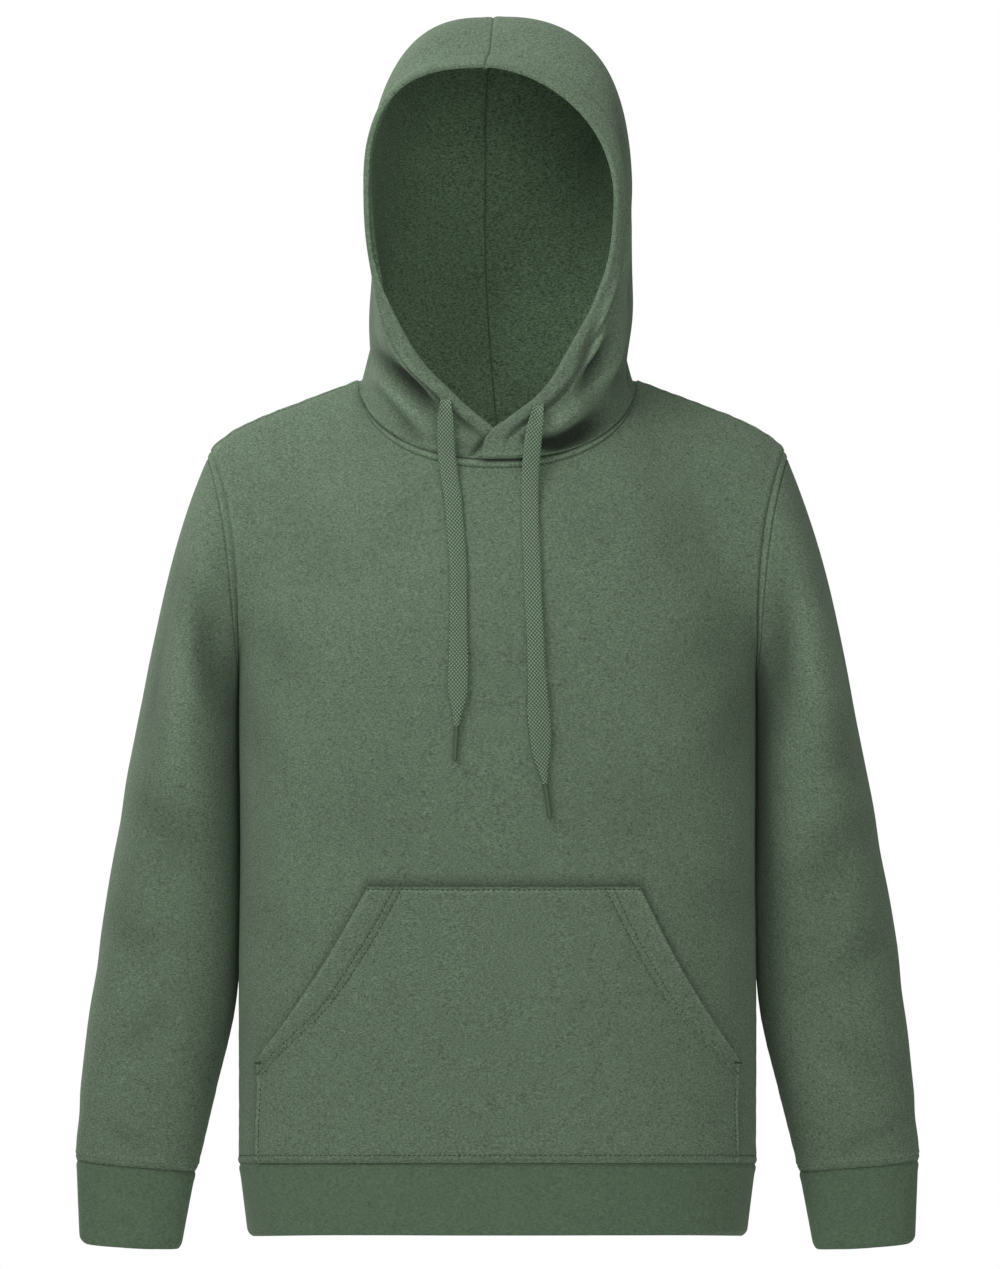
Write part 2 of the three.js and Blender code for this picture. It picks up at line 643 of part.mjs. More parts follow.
// A flat tube of eight sides along a route, closed at both ends, narrower towards its tip
function cordGeometry(route) {
  const curve = new THREE.CatmullRomCurve3(route);
  const steps = route.length - 1;
  const length = curve.getLength();
  const rings = grid(steps + 1, CORD.sides, (row, place) => {
    const share = row / steps;
    const along = curve.getTangentAt(share);
    const across = vec(1, 0, 0).addScaledVector(along, -along.x).normalize();
    const out = across.clone().cross(along);
    const left = (1 - share) * length;
    const half = left < CORD.taper ? blend(CORD.tip, CORD.width, left / CORD.taper) / 2 : CORD.width / 2;
    const turn = (2 * Math.PI * (place + 0.5)) / CORD.sides;
    const scale = 1 / Math.cos(Math.PI / CORD.sides);
    return curve.getPointAt(share)
      .addScaledVector(across, half * scale * Math.cos(turn))
      .addScaledVector(out, (CORD.thick / 2) * scale * Math.sin(turn));
  });
  const positions = rings.flat().flatMap((point) => point.toArray());
  const index = [];
  const at = (row, place) => row * CORD.sides + (place % CORD.sides);
  for (let row = 0; row < steps; row += 1) {
    for (let place = 0; place < CORD.sides; place += 1) {
      index.push(at(row, place), at(row, place + 1), at(row + 1, place + 1));
      index.push(at(row, place), at(row + 1, place + 1), at(row + 1, place));
    }
  }
  for (let place = 1; place < CORD.sides - 1; place += 1) {
    index.push(at(0, 0), at(0, place + 1), at(0, place));
    index.push(at(steps, 0), at(steps, place), at(steps, place + 1));
  }
  return outwardGeometry(positions, index);
}

function addDrawcord(hand, points) {
  const route = points.map((point) => vec(...point));
  addPiece(`drawcord_${hand}`, cordGeometry(route), GREEN, 0.85);
  const end = route[route.length - 1];
  const run = end.clone().sub(route[route.length - 2]).normalize();
  const aglet = new THREE.CylinderGeometry(AGLET.radius, AGLET.radius, AGLET.length, AGLET.sides);
  aglet.applyQuaternion(new THREE.Quaternion().setFromUnitVectors(vec(0, 1, 0), run));
  aglet.translate(...end.addScaledVector(run, AGLET.length / 2 + AGLET.gap).toArray());
  addPiece(`aglet_${hand}`, aglet, GREEN_DARK, 0.4);
}

const front = addPanel('front', -1);
addPanel('back', 1);
[['left', 1], ['right', -1]].forEach(([hand, side]) => {
  addSleeve(`sleeve_${hand}`, side);
  addCuff(`cuff_${hand}`, side);
  addHood(`hood_${hand}`, side);
});
addWaistband();
addPocket(front);
addDrawcord('left', CORD_LEFT);
addDrawcord('right', CORD_RIGHT);

export default hoodie;
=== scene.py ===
"""A pullover hoodie, filled out with no wearer in it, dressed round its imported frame.

Metres, +Z up. The front faces -Y, and left is the wearer's, at +X. Sizes in the tables are in millimetres, as a
pattern maker writes them, and a mesh is turned to metres when it is made.
"""
import logging
import math
from dataclasses import dataclass, field
from enum import Enum

import bpy
import numpy as np
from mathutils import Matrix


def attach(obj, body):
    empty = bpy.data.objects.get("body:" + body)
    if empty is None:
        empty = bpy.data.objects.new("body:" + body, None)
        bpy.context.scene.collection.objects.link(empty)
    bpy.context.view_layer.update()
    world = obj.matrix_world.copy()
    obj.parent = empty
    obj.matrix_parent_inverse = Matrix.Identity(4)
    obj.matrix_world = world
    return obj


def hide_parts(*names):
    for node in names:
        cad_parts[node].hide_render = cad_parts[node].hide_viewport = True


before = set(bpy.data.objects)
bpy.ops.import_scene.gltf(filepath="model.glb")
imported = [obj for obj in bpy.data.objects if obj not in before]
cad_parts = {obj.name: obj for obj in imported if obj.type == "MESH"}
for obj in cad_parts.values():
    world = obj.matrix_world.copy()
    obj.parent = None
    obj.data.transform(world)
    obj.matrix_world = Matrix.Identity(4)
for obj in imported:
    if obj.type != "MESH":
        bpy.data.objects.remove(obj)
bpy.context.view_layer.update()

log = logging.getLogger("hoodie")
Array = np.ndarray

MM = 0.001
CLOTH = 2.0
RIB = 2.6

# The photograph's frame: real height of the picture at the garment, and where its middle lies
PICTURE_HEIGHT = 1.0279
PICTURE_CENTRE = (0.002, -0.206)
CAMERA_DISTANCE = 7.0
SENSOR = 36.0

# Seams shared by several pieces
HEM_Z = -634.0
ARMPIT_Z = -235.0
HEM_RISE = 7.0
TORSO_POWER = 2.6
SHOULDER = (232.0, 3.0, -57.0)
NECK_POINT = (112.0, 5.0, 0.0)
SHOULDER_FALL = 45.5
NECK_FRONT = (-95.0, -66.0)
NECK_POWER = 2.15
ARMHOLE_INNER = 208.5
ARMHOLE_REACH = {"front": 58.0, "back": 64.0}
ARMHOLE_POWER = 3.0
YOKE_LEAVE = 0.8
YOKE_ARRIVE = 0.62
YOKE_DRAW = 0.42

# Steps of the construction's grids, which place the seams
NECK_STEPS = 24
SHOULDER_STEPS = 6
PANEL_STEPS = NECK_STEPS + 2 * SHOULDER_STEPS
LAP_START = -2.0 / NECK_STEPS


class Side(Enum):
    """The wearer's side of a piece that comes in two."""

    LEFT = 1
    RIGHT = -1

    @property
    def label(self) -> str:
        """The side's name, as the frame's nodes have it."""
        return self.name.lower()


class Facing(Enum):
    """Which way a body panel looks."""

    FRONT = -1
    BACK = 1


def power(value: Array, exponent: float | Array) -> Array:
    """A signed power: the size raised to the exponent, with the value's own sign."""
    return np.sign(value) * np.abs(value) ** exponent


def blend(low: Array | float, high: Array | float, share: Array | float) -> Array:
    """The value that lies the given share of the way from low to high."""
    return low + (high - low) * share


def smooth(low: float, high: float, value: Array | float) -> Array:
    """A step from 0 at low to 1 at high, level at both ends."""
    share = np.clip((value - low) / (high - low), 0.0, 1.0)
    return share * share * (3.0 - 2.0 * share)


def bell(value: Array, width: float) -> Array:
    """A bell curve, 1 at nothing, falling off over the width."""
    return np.exp(-((value / width) ** 2))


def stack(x: Array | float, y: Array | float, z: Array | float) -> Array:
    """Points from three arrays or numbers, broadcast together."""
    return np.stack(np.broadcast_arrays(x, y, z), axis=-1).astype(float)


def unit(vectors: Array) -> Array:
    """The same directions at length 1."""
    return vectors / np.maximum(np.linalg.norm(vectors, axis=-1, keepdims=True), 1e-9)


def hermite(start: Array, leave: Array, end: Array, arrive: Array, share: Array) -> Array:
    """A cubic from start to end with the given slopes there."""
    s2 = share * share
    s3 = s2 * share
    return ((2 * s3 - 3 * s2 + 1) * start + (s3 - 2 * s2 + share) * leave
            + (3 * s2 - 2 * s3) * end + (s3 - s2) * arrive)


@dataclass(frozen=True)
class Sections:
    """A short table, a row for each section, read on a smooth curve through its rows."""

    names: tuple[str, ...]
    rows: tuple[tuple[float, ...], ...]

    def at(self, name: str, place: Array | float) -> Array:
        """A column's value at places along the first column.

        Args:
            name: The column.
            place: Places along the first column, in any shape.

        Returns:
            The cubic through the rows, whose slope at a row is that between its neighbours.
        """
        table = np.array(self.rows, dtype=float)
        if table[0, 0] > table[-1, 0]:
            table = table[::-1]
        key = table[:, 0]
        value = table[:, self.names.index(name)]
        before = np.maximum(np.arange(len(key)) - 1, 0)
        after = np.minimum(np.arange(len(key)) + 1, len(key) - 1)
        slope = (value[after] - value[before]) / (key[after] - key[before])
        place = np.asarray(place, dtype=float)
        row = np.clip(np.searchsorted(key, place, side="right") - 1, 0, len(key) - 2)
        span = key[row + 1] - key[row]
        share = np.clip((place - key[row]) / span, 0.0, 1.0)
        return hermite(value[row], slope[row] * span, value[row + 1], slope[row + 1] * span, share)


TORSO = Sections(
    ("z", "half", "front", "back", "side"),
    (
        (-634.0, 208.6, -122.0, 112.0, -12.0),
        (-500.0, 208.5, -128.0, 116.0, -14.0),
        (-380.0, 207.5, -129.0, 118.0, -16.0),
        (-300.0, 208.0, -129.0, 120.0, -14.0),
        (-235.0, 208.5, -127.0, 122.0, -8.0),
    ),
)
SLEEVE = Sections(
    ("z", "outer", "inner", "front", "back"),
    (
        (-290.0, 294.0, 208.5, -62.0, 102.0),
        (-380.0, 311.0, 208.0, -56.0, 96.0),
        (-450.0, 322.0, 208.5, -49.0, 82.0),
        (-510.0, 330.0, 213.5, -44.0, 66.0),
        (-570.0, 337.0, 227.5, -42.0, 50.0),
        (-615.0, 341.0, 238.5, -36.0, 38.0),
        (-636.0, 341.5, 244.0, -29.0, 31.0),
    ),
)
CUFF = Sections(
    ("share", "outer", "inner", "front", "back"),
    (
        (0.0, 341.0, 244.5, -28.0, 30.0),
        (1.0, 338.5, 256.0, -22.0, 24.0),
    ),
)
HOOD = Sections(
    ("at", "y", "z", "right", "left", "wide", "crest", "foot", "crown"),
    (
        (0.0, -84.0, 249.0, 105.0, 95.5, 0.7, 0.0, 2.3, 2.3),
        (0.154, -63.0, 261.0, 104.5, 103.0, 0.66, 0.0, 2.2, 2.4),
        (0.27, -26.0, 287.0, 103.5, 108.0, 0.6, 2.0, 2.1, 2.55),
        (0.4, 20.0, 294.0, 102.5, 109.0, 0.55, 5.0, 2.0, 2.5),
        (0.53, 70.0, 272.0, 102.0, 107.5, 0.5, 9.0, 2.0, 2.3),
        (0.65, 104.0, 224.0, 101.0, 104.5, 0.45, 14.0, 2.0, 2.25),
        (0.76, 118.0, 160.0, 99.0, 102.0, 0.4, 20.0, 2.0, 2.2),
        (0.86, 110.0, 92.0, 100.0, 100.0, 0.3, 26.0, 2.0, 2.2),
        (0.94, 91.0, 30.0, 106.0, 106.0, 0.15, 28.0, 2.0, 2.15),
        (1.0, 75.0, -47.0, 112.0, 112.0, 0.02, 0.0, 2.0, 2.15),
    ),
)
RIM = {Side.LEFT: {"crown": 1.9, "wide": 0.645}, Side.RIGHT: {"crown": 2.6, "wide": 0.7}}
HOOD_FLARE = {Side.LEFT: 5.2, Side.RIGHT: 5.0}
HOOD_CENTRE = Sections(
    ("at", "x"),
    (
        (0.0, -9.5), (0.08, -8.5), (0.154, -6.5), (0.27, -4.0), (0.4, -3.6), (0.53, -6.5), (0.65, -9.5),
        (0.76, -10.0), (0.86, -9.5), (0.94, -6.0), (1.0, 0.0),
    ),
)
RIM_SHIFT = {
    Side.LEFT: Sections(
        ("z", "x"),
        (
            (-66.0, -2.5), (-61.0, -7.4), (-50.0, -12.0), (-41.0, -14.8), (-35.0, -12.5), (-26.0, -9.5),
            (-18.0, -6.5), (-7.0, -5.5), (4.0, -6.2), (17.0, -7.9), (35.0, -7.9), (51.0, -6.3), (68.0, -5.0),
            (91.0, -2.8), (130.0, -1.5), (170.0, 0.0), (260.0, 0.0),
        ),
    ),
    Side.RIGHT: Sections(
        ("z", "x"),
        (
            (-66.0, -6.0), (-50.0, -9.0), (-41.0, -9.6), (-32.0, -8.0), (-23.0, -6.0), (-10.0, -4.4), (1.0, -1.8),
            (15.0, 0.2), (48.0, 0.8), (77.0, 2.5), (99.0, 2.2), (140.0, 0.5), (180.0, 0.0), (260.0, 0.0),
        ),
    ),
}
CUFF_TOP = -636.0
CUFF_BOTTOM = -702.0
CUFF_TILT = 4.5
SLEEVE_POWER = 2.25
BAND_BOTTOM = {"z": -693.0, "half": 201.5, "front": -117.0, "back": 107.0, "side": -12.0, "rise": 8.0}


def armhole(side: int, turn: Array) -> Array:
    """The armhole seam: an upright oval whose depth follows the cosine of the turn and which leans out upwards.

    Args:
        side: 1 at the wearer's left, -1 at the right.
        turn: 0 at the shoulder point, a quarter turn at the front, half a turn at the armpit.

    Returns:
        Points on the seam.
    """
    share = (1 + np.cos(turn)) / 2
    z = blend(ARMPIT_Z, SHOULDER[2], share)
    middle = blend(TORSO.at("side", ARMPIT_Z), SHOULDER[1], share)
    reach = np.where(np.sin(turn) > 0, ARMHOLE_REACH["front"], ARMHOLE_REACH["back"])
    x = ARMHOLE_INNER + (SHOULDER[0] - ARMHOLE_INNER) * share ** ARMHOLE_POWER
    return stack(side * x, middle - reach * np.sin(turn), z)


def armhole_normal(side: int, turn: Array) -> Array:
    """The way out along the armhole seam, shared by the body and the sleeve."""
    outward = 0.75 * np.sqrt(np.maximum(1 + np.cos(turn), 0) / 2)
    around = np.sqrt(1 - outward ** 2)
    return stack(side * outward, -around * np.sin(turn), around * np.cos(turn))


def shoulder(side: Array, share: Array) -> Array:
    """The shoulder seam from neck point, 0, to shoulder point, 1: a slope that drops faster at its end."""
    end = SHOULDER[2] + SHOULDER_FALL
    x = blend(NECK_POINT[0], SHOULDER[0], share)
    y = blend(NECK_POINT[1], SHOULDER[1], share)
    return stack(side * x, y, -SHOULDER_FALL * share + end * share ** 8)


def neck_front(place: Array) -> Array:
    """The front neck seam: a rounded arc in a slanted plane, from the right neck point, -1, to the left, 1."""
    turn = np.clip(place, -1, 1) * math.pi / 2
    drop = power(np.maximum(np.cos(turn), 0), 2 / NECK_POWER)
    x = NECK_POINT[0] * power(np.sin(turn), 2 / NECK_POWER)
    return stack(x, blend(NECK_POINT[1], NECK_FRONT[0], drop), blend(NECK_POINT[2], NECK_FRONT[1], drop))


def neck_normal(points: Array) -> Array:
    """The way out along the neck seam, flat in front and steeper at the neck points."""
    flat = unit(stack(points[..., 0] / NECK_POINT[0], (points[..., 1] - NECK_POINT[1]) / 85.0, 0.0))
    steep = np.where(points[..., 1] < NECK_POINT[1], 0.1, 0.35)
    flat[..., 2] = blend(0.75, steep, np.abs(flat[..., 1]))
    return unit(flat)


def torso_section(z: Array, turn: Array, facing: Facing) -> Array:
    """Half a level section of the body: a rounded oval, deeper to the facing side, whose hem rises in front."""
    half = TORSO.at("half", z)
    reach = TORSO.at("front" if facing is Facing.FRONT else "back", z)
    round_share = power(np.maximum(np.sin(turn), 0), 2 / TORSO_POWER)
    low = np.clip((ARMPIT_Z - z) / (ARMPIT_Z - HEM_Z), 0, 1)
    rise = HEM_RISE * round_share * low ** 3 if facing is Facing.FRONT else 0.0
    x = -half * power(np.cos(turn), 2 / TORSO_POWER)
    return stack(x, blend(TORSO.at("side", z), reach, round_share), z + rise)


def hood_point(side: Side, along: Array, up: Array) -> Array:
    """A point of a hood half: arches that stand on the neck seam, widen and round over to the centre seam.

    Args:
        side: The half.
        along: 0 at the face opening to 1 at the back neck seam.
        up: 0 at the neck seam to 1 at the centre seam.

    Returns:
        Points on the outside.
    """
    along, up = np.broadcast_arrays(np.asarray(along, float), np.asarray(up, float))
    away = smooth(0, 0.22, along)
    foot = neck_front(side.value * blend(LAP_START, 1.0, along))
    rise_y = HOOD.at("y", along) - foot[..., 1]
    rise_z = HOOD.at("z", along) - foot[..., 2]
    half = HOOD.at(side.label, along)
    wide = blend(RIM[side]["wide"], HOOD.at("wide", along), away)
    crown = blend(RIM[side]["crown"], HOOD.at("crown", along), away)
    widest = wide / (wide + 1.15 * (1 - wide))
    low = np.clip(up / widest, 0, 1)
    turn = np.clip((up - widest) / (1 - widest), 0, 1) * math.pi / 2
    is_low = up < widest
    height = np.where(is_low, wide * low, wide + (1 - wide) * power(np.sin(turn), 2 / crown))
    reach_low = blend(side.value * foot[..., 0], half, 1 - (1 - low) ** HOOD.at("foot", along))
    reach = np.where(is_low, reach_low, half * power(np.maximum(np.cos(turn), 0), 2 / crown))
    near_rim = (1 - smooth(0, 0.22, along)) * smooth(0, 0.05, up)
    level = foot[..., 2] + rise_z * height
    reach = reach + RIM_SHIFT[side].at("x", level) * near_rim
    low_side = away * (1 - smooth(0.7, 0.92, along)) * smooth(0, 0.12, up) * (1 - smooth(0.4, 0.75, up))
    reach = reach + HOOD_FLARE[side] * bell(level - 36, 38) * low_side
    crest = HOOD.at("crest", along) * power(np.maximum(np.sin(math.pi * up), 0), 0.8)
    centre = HOOD_CENTRE.at("x", along) * smooth(0.72, 1.0, up)
    return stack(side.value * reach + centre, foot[..., 1] + rise_y * height,
                 foot[..., 2] + rise_z * height + crest)


def top_edge(across: Array, facing: Facing) -> Array:
    """A body panel's top edge, shoulder, neck and shoulder, from the right side, 0, to the left, 1."""
    place = (across * PANEL_STEPS - SHOULDER_STEPS) / NECK_STEPS * 2 - 1
    beyond = (np.abs(place) - 1) / 2 * (NECK_STEPS / SHOULDER_STEPS)
    side = np.where(place < 0, -1.0, 1.0)
    if facing is Facing.FRONT:
        neck = neck_front(place)
    else:
        up = np.clip(1 - np.abs(place), 0, 1)
        neck = hood_point(Side.LEFT, np.ones_like(up), up)
        neck[..., 0] *= side
    on_shoulder = (beyond > 0)[..., None]
    return np.where(on_shoulder, shoulder(side, np.clip(beyond, 0, 1)), neck)


def top_run(across: Array, facing: Facing) -> Array:
    """The way a body panel runs into its top edge: steep at the neck, level over the shoulder."""
    centre = np.abs(across * 2 - 1) * (1 + 2 * SHOULDER_STEPS / NECK_STEPS)
    steep = 1 - smooth(0, 1.05, centre)
    low = 0.36 if facing is Facing.FRONT else 0.66
    return unit(stack(0.0, -facing.value * blend(0.985, low, steep), blend(0.17, 0.93, steep)))


def yoke(across: Array, up: Array, facing: Facing) -> Array:
    """The upper body: cubics from the chest section to the top edge, drawn sideways to the armhole seams."""

    def plain(place: Array) -> Array:
        start = torso_section(np.full_like(place, ARMPIT_Z), place * math.pi, facing)
        end = top_edge(place, facing)
        length = np.linalg.norm(end - start, axis=-1, keepdims=True)
        leave = np.array([0.0, 0.0, 1.0]) * length * YOKE_LEAVE
        return hermite(start, leave, end, top_run(place, facing) * length * YOKE_ARRIVE, up[..., None])

    point = plain(across)
    for edge, side, distance in ((0.0, -1, across), (1.0, 1, 1 - across)):
        pull = np.maximum(1 - distance / YOKE_DRAW, 0) ** 3
        seam = armhole(side, -facing.value * math.pi * (1 - up))
        point = point + (seam - plain(np.full_like(across, edge))) * pull[..., None]
    return point


def ring(table: Sections, place: Array, side: int, z: Array, turn: Array) -> Array:
    """A level section of a sleeve or cuff: an oval between a table's outer, inner, front and back values."""
    out = (1 + power(np.cos(turn), 2 / SLEEVE_POWER)) / 2
    forward = (1 + power(np.sin(turn), 2 / SLEEVE_POWER)) / 2
    x = blend(table.at("inner", place), table.at("outer", place), out)
    return stack(side * x, blend(table.at("back", place), table.at("front", place), forward), z)


def sleeve_cap(side: int, turn: Array, share: Array) -> Array:
    """The sleeve's head: cubics from the armhole seam down to the first level section."""
    top = SLEEVE.rows[0][0]
    start = armhole(side, turn)
    end = ring(SLEEVE, np.full_like(turn, top), side, top, turn)
    below = ring(SLEEVE, np.full_like(turn, top - 15), side, top - 15, turn)
    length = np.linalg.norm(end - start, axis=-1, keepdims=True)
    swell = np.sin(turn) ** 2
    leave = unit(stack(side * (0.22 * (1 + np.cos(turn)) + 0.5 * swell + 0.02), -0.25 * np.sin(turn),
                       -1 + 0.35 * swell))
    return hermite(start, leave * length, end, unit(below - end) * length, share[..., None])


def sleeve_arm(side: int, turn: Array, share: Array) -> Array:
    """The sleeve below its head: level sections down to the cuff seam, which tilts with the wrist."""
    z = blend(SLEEVE.rows[0][0], CUFF_TOP, share)
    point = ring(SLEEVE, z, side, z, turn)
    point[..., 2] += CUFF_TILT * np.cos(turn) * share
    return point


def cuff_ring(side: int, turn: Array, share: Array) -> Array:
    """The cuff: level sections from its seam down to its edge, its tilt easing off to half."""
    point = ring(CUFF, share, side, blend(CUFF_TOP, CUFF_BOTTOM, share), turn)
    point[..., 2] += CUFF_TILT * np.cos(turn) * (1 - share / 2)
    return point


def band_ring(turn: Array, share: Array) -> Array:
    """The waistband: from the body's lowest section, drawn in a little down to its edge."""
    is_front = turn < math.pi
    half_turn = np.where(is_front, turn, turn - math.pi)
    top_z = np.full_like(turn, HEM_Z)
    front = torso_section(top_z, half_turn, Facing.FRONT)
    back = torso_section(top_z, half_turn, Facing.BACK)
    back[..., 0] *= -1
    top = np.where(is_front[..., None], front, back)
    round_share = power(np.abs(np.sin(turn)), 2 / TORSO_POWER)
    reach = np.where(is_front, BAND_BOTTOM["front"], BAND_BOTTOM["back"])
    rise = np.where(is_front, BAND_BOTTOM["rise"], 0.0)
    bottom = stack(-BAND_BOTTOM["half"] * power(np.cos(turn), 2 / TORSO_POWER),
                   blend(BAND_BOTTOM["side"], reach, round_share), BAND_BOTTOM["z"] + rise * round_share)
    return blend(top, bottom, share[..., None])


def drawn_in(points: Array, share: Array, length: float, radius: float) -> Array:
    """A tube whose low end is drawn in at the sides along a quarter circle.

    Args:
        points: Its rings, from the top down.
        share: 0 at the top to 1 at the low edge.
        length: Of the tube, in mm.
        radius: Of the quarter circle.

    Returns:
        The points.
    """
    depth = np.clip(1 - (1 - share) * length / radius, 0, 1)
    pull = radius * (1 - np.sqrt(1 - 0.98 * depth ** 2))
    aside = points[..., 0] - points[..., 0].mean(axis=-1, keepdims=True)
    half = np.abs(aside).max(axis=-1, keepdims=True)
    return points - stack(pull * aside / half, 0.0, 0.0)


def graded(count: int, ease: float = 0.85) -> Array:
    """Places from 0 to 1, closer together near both ends, where the seams are."""
    even = np.linspace(0, 1, count)
    return even - ease * np.sin(2 * math.pi * even) / (2 * math.pi)


class View(Enum):
    """A direction a crease is drawn from: the two axes of its drawing and the way the cloth there looks."""

    FRONT = ((0, 2), (0.0, -1.0, 0.0))
    BACK = ((0, 2), (0.0, 1.0, 0.0))
    LEFT = ((1, 2), (1.0, 0.0, 0.0))
    RIGHT = ((1, 2), (-1.0, 0.0, 0.0))
    TOP = ((0, 1), (0.0, 0.0, 1.0))


@dataclass(frozen=True)
class Crease:
    """A soft fold along a bowed line.

    Attributes:
        start: Its first end in the view's drawing, in mm.
        end: Its other end.
        width: How far it spreads to each side, in mm.
        depth: Height over the cloth in mm, under 0 for a trough.
        bow: How far its middle lies off the straight line, in mm.
        view: The side it is drawn from.
        shoulder: Share of its depth that swells up beside it.
    """

    start: tuple[float, float]
    end: tuple[float, float]
    width: float
    depth: float
    bow: float = 0.0
    view: View = View.FRONT
    shoulder: float = 0.25

    def relief(self, points: Array, normals: Array) -> Array:
        """The crease's height at each point.

        Across its line it is a bell with a lower swell of the other sign on both sides, and along it fades at
        both ends with a sine.
        """
        axes, way = self.view.value
        flat = points[..., axes]
        start = np.array(self.start)
        run = np.array(self.end) - start
        length = float(np.hypot(*run))
        ahead = run / length
        beside = np.array([-ahead[1], ahead[0]])
        share = np.clip((flat - start) @ ahead / length, -0.25, 1.25)
        offset = (flat - start) @ beside - self.bow * np.sin(math.pi * np.clip(share, 0, 1))
        spread = self.width * (0.75 + 0.4 * share)
        swell = bell(np.abs(offset) - 1.9 * spread, spread)
        along = np.clip(np.sin(math.pi * np.clip((share + 0.08) / 1.16, 0, 1)), 0, 1) ** 1.3
        turned = smooth(0.0, 0.45, normals @ np.array(way))
        return self.depth * turned * along * (bell(offset, spread) - self.shoulder * swell)


@dataclass(frozen=True)
class Seam:
    """The relief beside a sewn seam, by distance from it.

    Attributes:
        dip: Depth of the ditch at the seam itself.
        puff: Height of the swell beside it.
        reach: Distance of the swell's top from the seam.
        rows: Distances of its rows of topstitching.
        bite: Depth to which a row draws the cloth in.
        pucker: Height of the small waves that the sewing draws up along it.
    """

    dip: float = 1.2
    puff: float = 0.5
    reach: float = 5.0
    rows: tuple[float, ...] = ()
    bite: float = 0.4
    pucker: float = 0.22

    def relief(self, distance: Array, run: Array, phase: float) -> Array:
        """Height at a distance from the seam and a place along it.

        Args:
            distance: From the seam, in mm.
            run: Place along it, in mm.
            phase: Where its waves start.

        Returns:
            The ditch, the swell, the rows' grooves and waves of three lengths that fade away from the seam.
        """
        height = -self.dip * bell(distance, 1.9) + self.puff * bell(distance - self.reach, 3.6)
        for row in self.rows:
            height = height - self.bite * bell(distance - row, 0.9)
        waves = (np.sin(run / 2.1 + phase) + 0.8 * np.sin(run / 3.37 + 2.1 * phase)
                 + 0.6 * np.sin(run / 5.9 + 3.3 * phase))
        fading = smooth(0.0, 2.0, distance) * np.exp(-distance / 9.0)
        return height + self.pucker * waves * fading


class Edge(Enum):
    """An edge of a surface's grid."""

    FIRST = "first row"
    LAST = "last row"
    LEFT = "first column"
    RIGHT = "last column"


@dataclass
class Surface:
    """A grid of points with the way out at each, in mm.

    Attributes:
        points: Rows, columns and three coordinates.
        normals: Directions outwards, of the same shape.
        wraps: Whether the last column meets the first.
        along: Distance of each point up its column from the first row.
        across: Distance of each point along its row from the first column.
    """

    points: Array
    normals: Array
    wraps: bool
    along: Array = field(init=False)
    across: Array = field(init=False)

    def __post_init__(self) -> None:
        self.along = self._measure(0)
        self.across = self._measure(1)

    def _measure(self, axis: int) -> Array:
        """Distances run up along one way of the grid."""
        step = np.linalg.norm(np.diff(self.points, axis=axis), axis=-1)
        start = np.zeros_like(np.take(step, [0], axis=axis))
        return np.concatenate([start, np.cumsum(step, axis=axis)], axis=axis)

    @classmethod
    def of(cls, points: Array, wraps: bool, facing: float) -> "Surface":
        """A surface with the directions found from its own points, turned by facing."""
        return cls(points, cls.directions(points, wraps, facing), wraps)

    @staticmethod
    def directions(points: Array, wraps: bool, facing: float) -> Array:
        """The cross product of the steps across and along at each point."""
        if wraps:
            across = np.roll(points, -1, axis=1) - np.roll(points, 1, axis=1)
        else:
            across = np.gradient(points, axis=1)
        along = np.gradient(points, axis=0)
        return unit(np.cross(across, along) * facing)

    def distance(self, edge: Edge) -> Array:
        """Each point's distance from an edge."""
        if edge is Edge.FIRST:
            return self.along
        if edge is Edge.LAST:
            return self.along[-1:] - self.along
        if edge is Edge.LEFT:
            return self.across
        return self.across[:, -1:] - self.across

    def run(self, edge: Edge) -> Array:
        """Each point's place along an edge."""
        return self.across if edge in (Edge.FIRST, Edge.LAST) else self.along

    def lead(self, edge: Edge, directions: Array, reach: float = 9.0) -> None:
        """Turns the directions beside an edge into those that its two pieces share there.

        Args:
            edge: The edge.
            directions: One direction for each point of the edge.
            reach: Distance over which the surface's own directions take over again, in mm.
        """
        share = 1 - smooth(0.0, reach, self.distance(edge))
        wide = directions[None, :, :] if edge in (Edge.FIRST, Edge.LAST) else directions[:, None, :]
        self.normals = unit(blend(self.normals, wide, share[..., None]))

    def raised(self, height: Array) -> None:
        """Moves the points out along their directions."""
        self.points = self.points + self.normals * np.broadcast_to(height, self.along.shape)[..., None]

    def line(self, edge: Edge, distance: Array | float) -> tuple[Array, Array]:
        """The line that keeps a distance from an edge.

        Args:
            edge: The edge it follows.
            distance: How far from it, in mm, one number or one for each place along it.

        Returns:
            Its points and the directions outwards there, one for each column or row.
        """
        gap = self.distance(edge)
        points, normals = self.points, self.normals
        if edge in (Edge.LEFT, Edge.RIGHT):
            gap, points, normals = gap.T, points.swapaxes(0, 1), normals.swapaxes(0, 1)
        if edge in (Edge.LAST, Edge.RIGHT):
            gap, points, normals = gap[::-1], points[::-1], normals[::-1]
        row = np.clip((gap < distance).sum(axis=0) - 1, 0, len(gap) - 2)
        column = np.arange(gap.shape[1])
        low, high = gap[row, column], gap[row + 1, column]
        share = np.clip((distance - low) / np.maximum(high - low, 1e-6), 0, 1)[:, None]
        return (blend(points[row, column], points[row + 1, column], share),
                unit(blend(normals[row, column], normals[row + 1, column], share)))


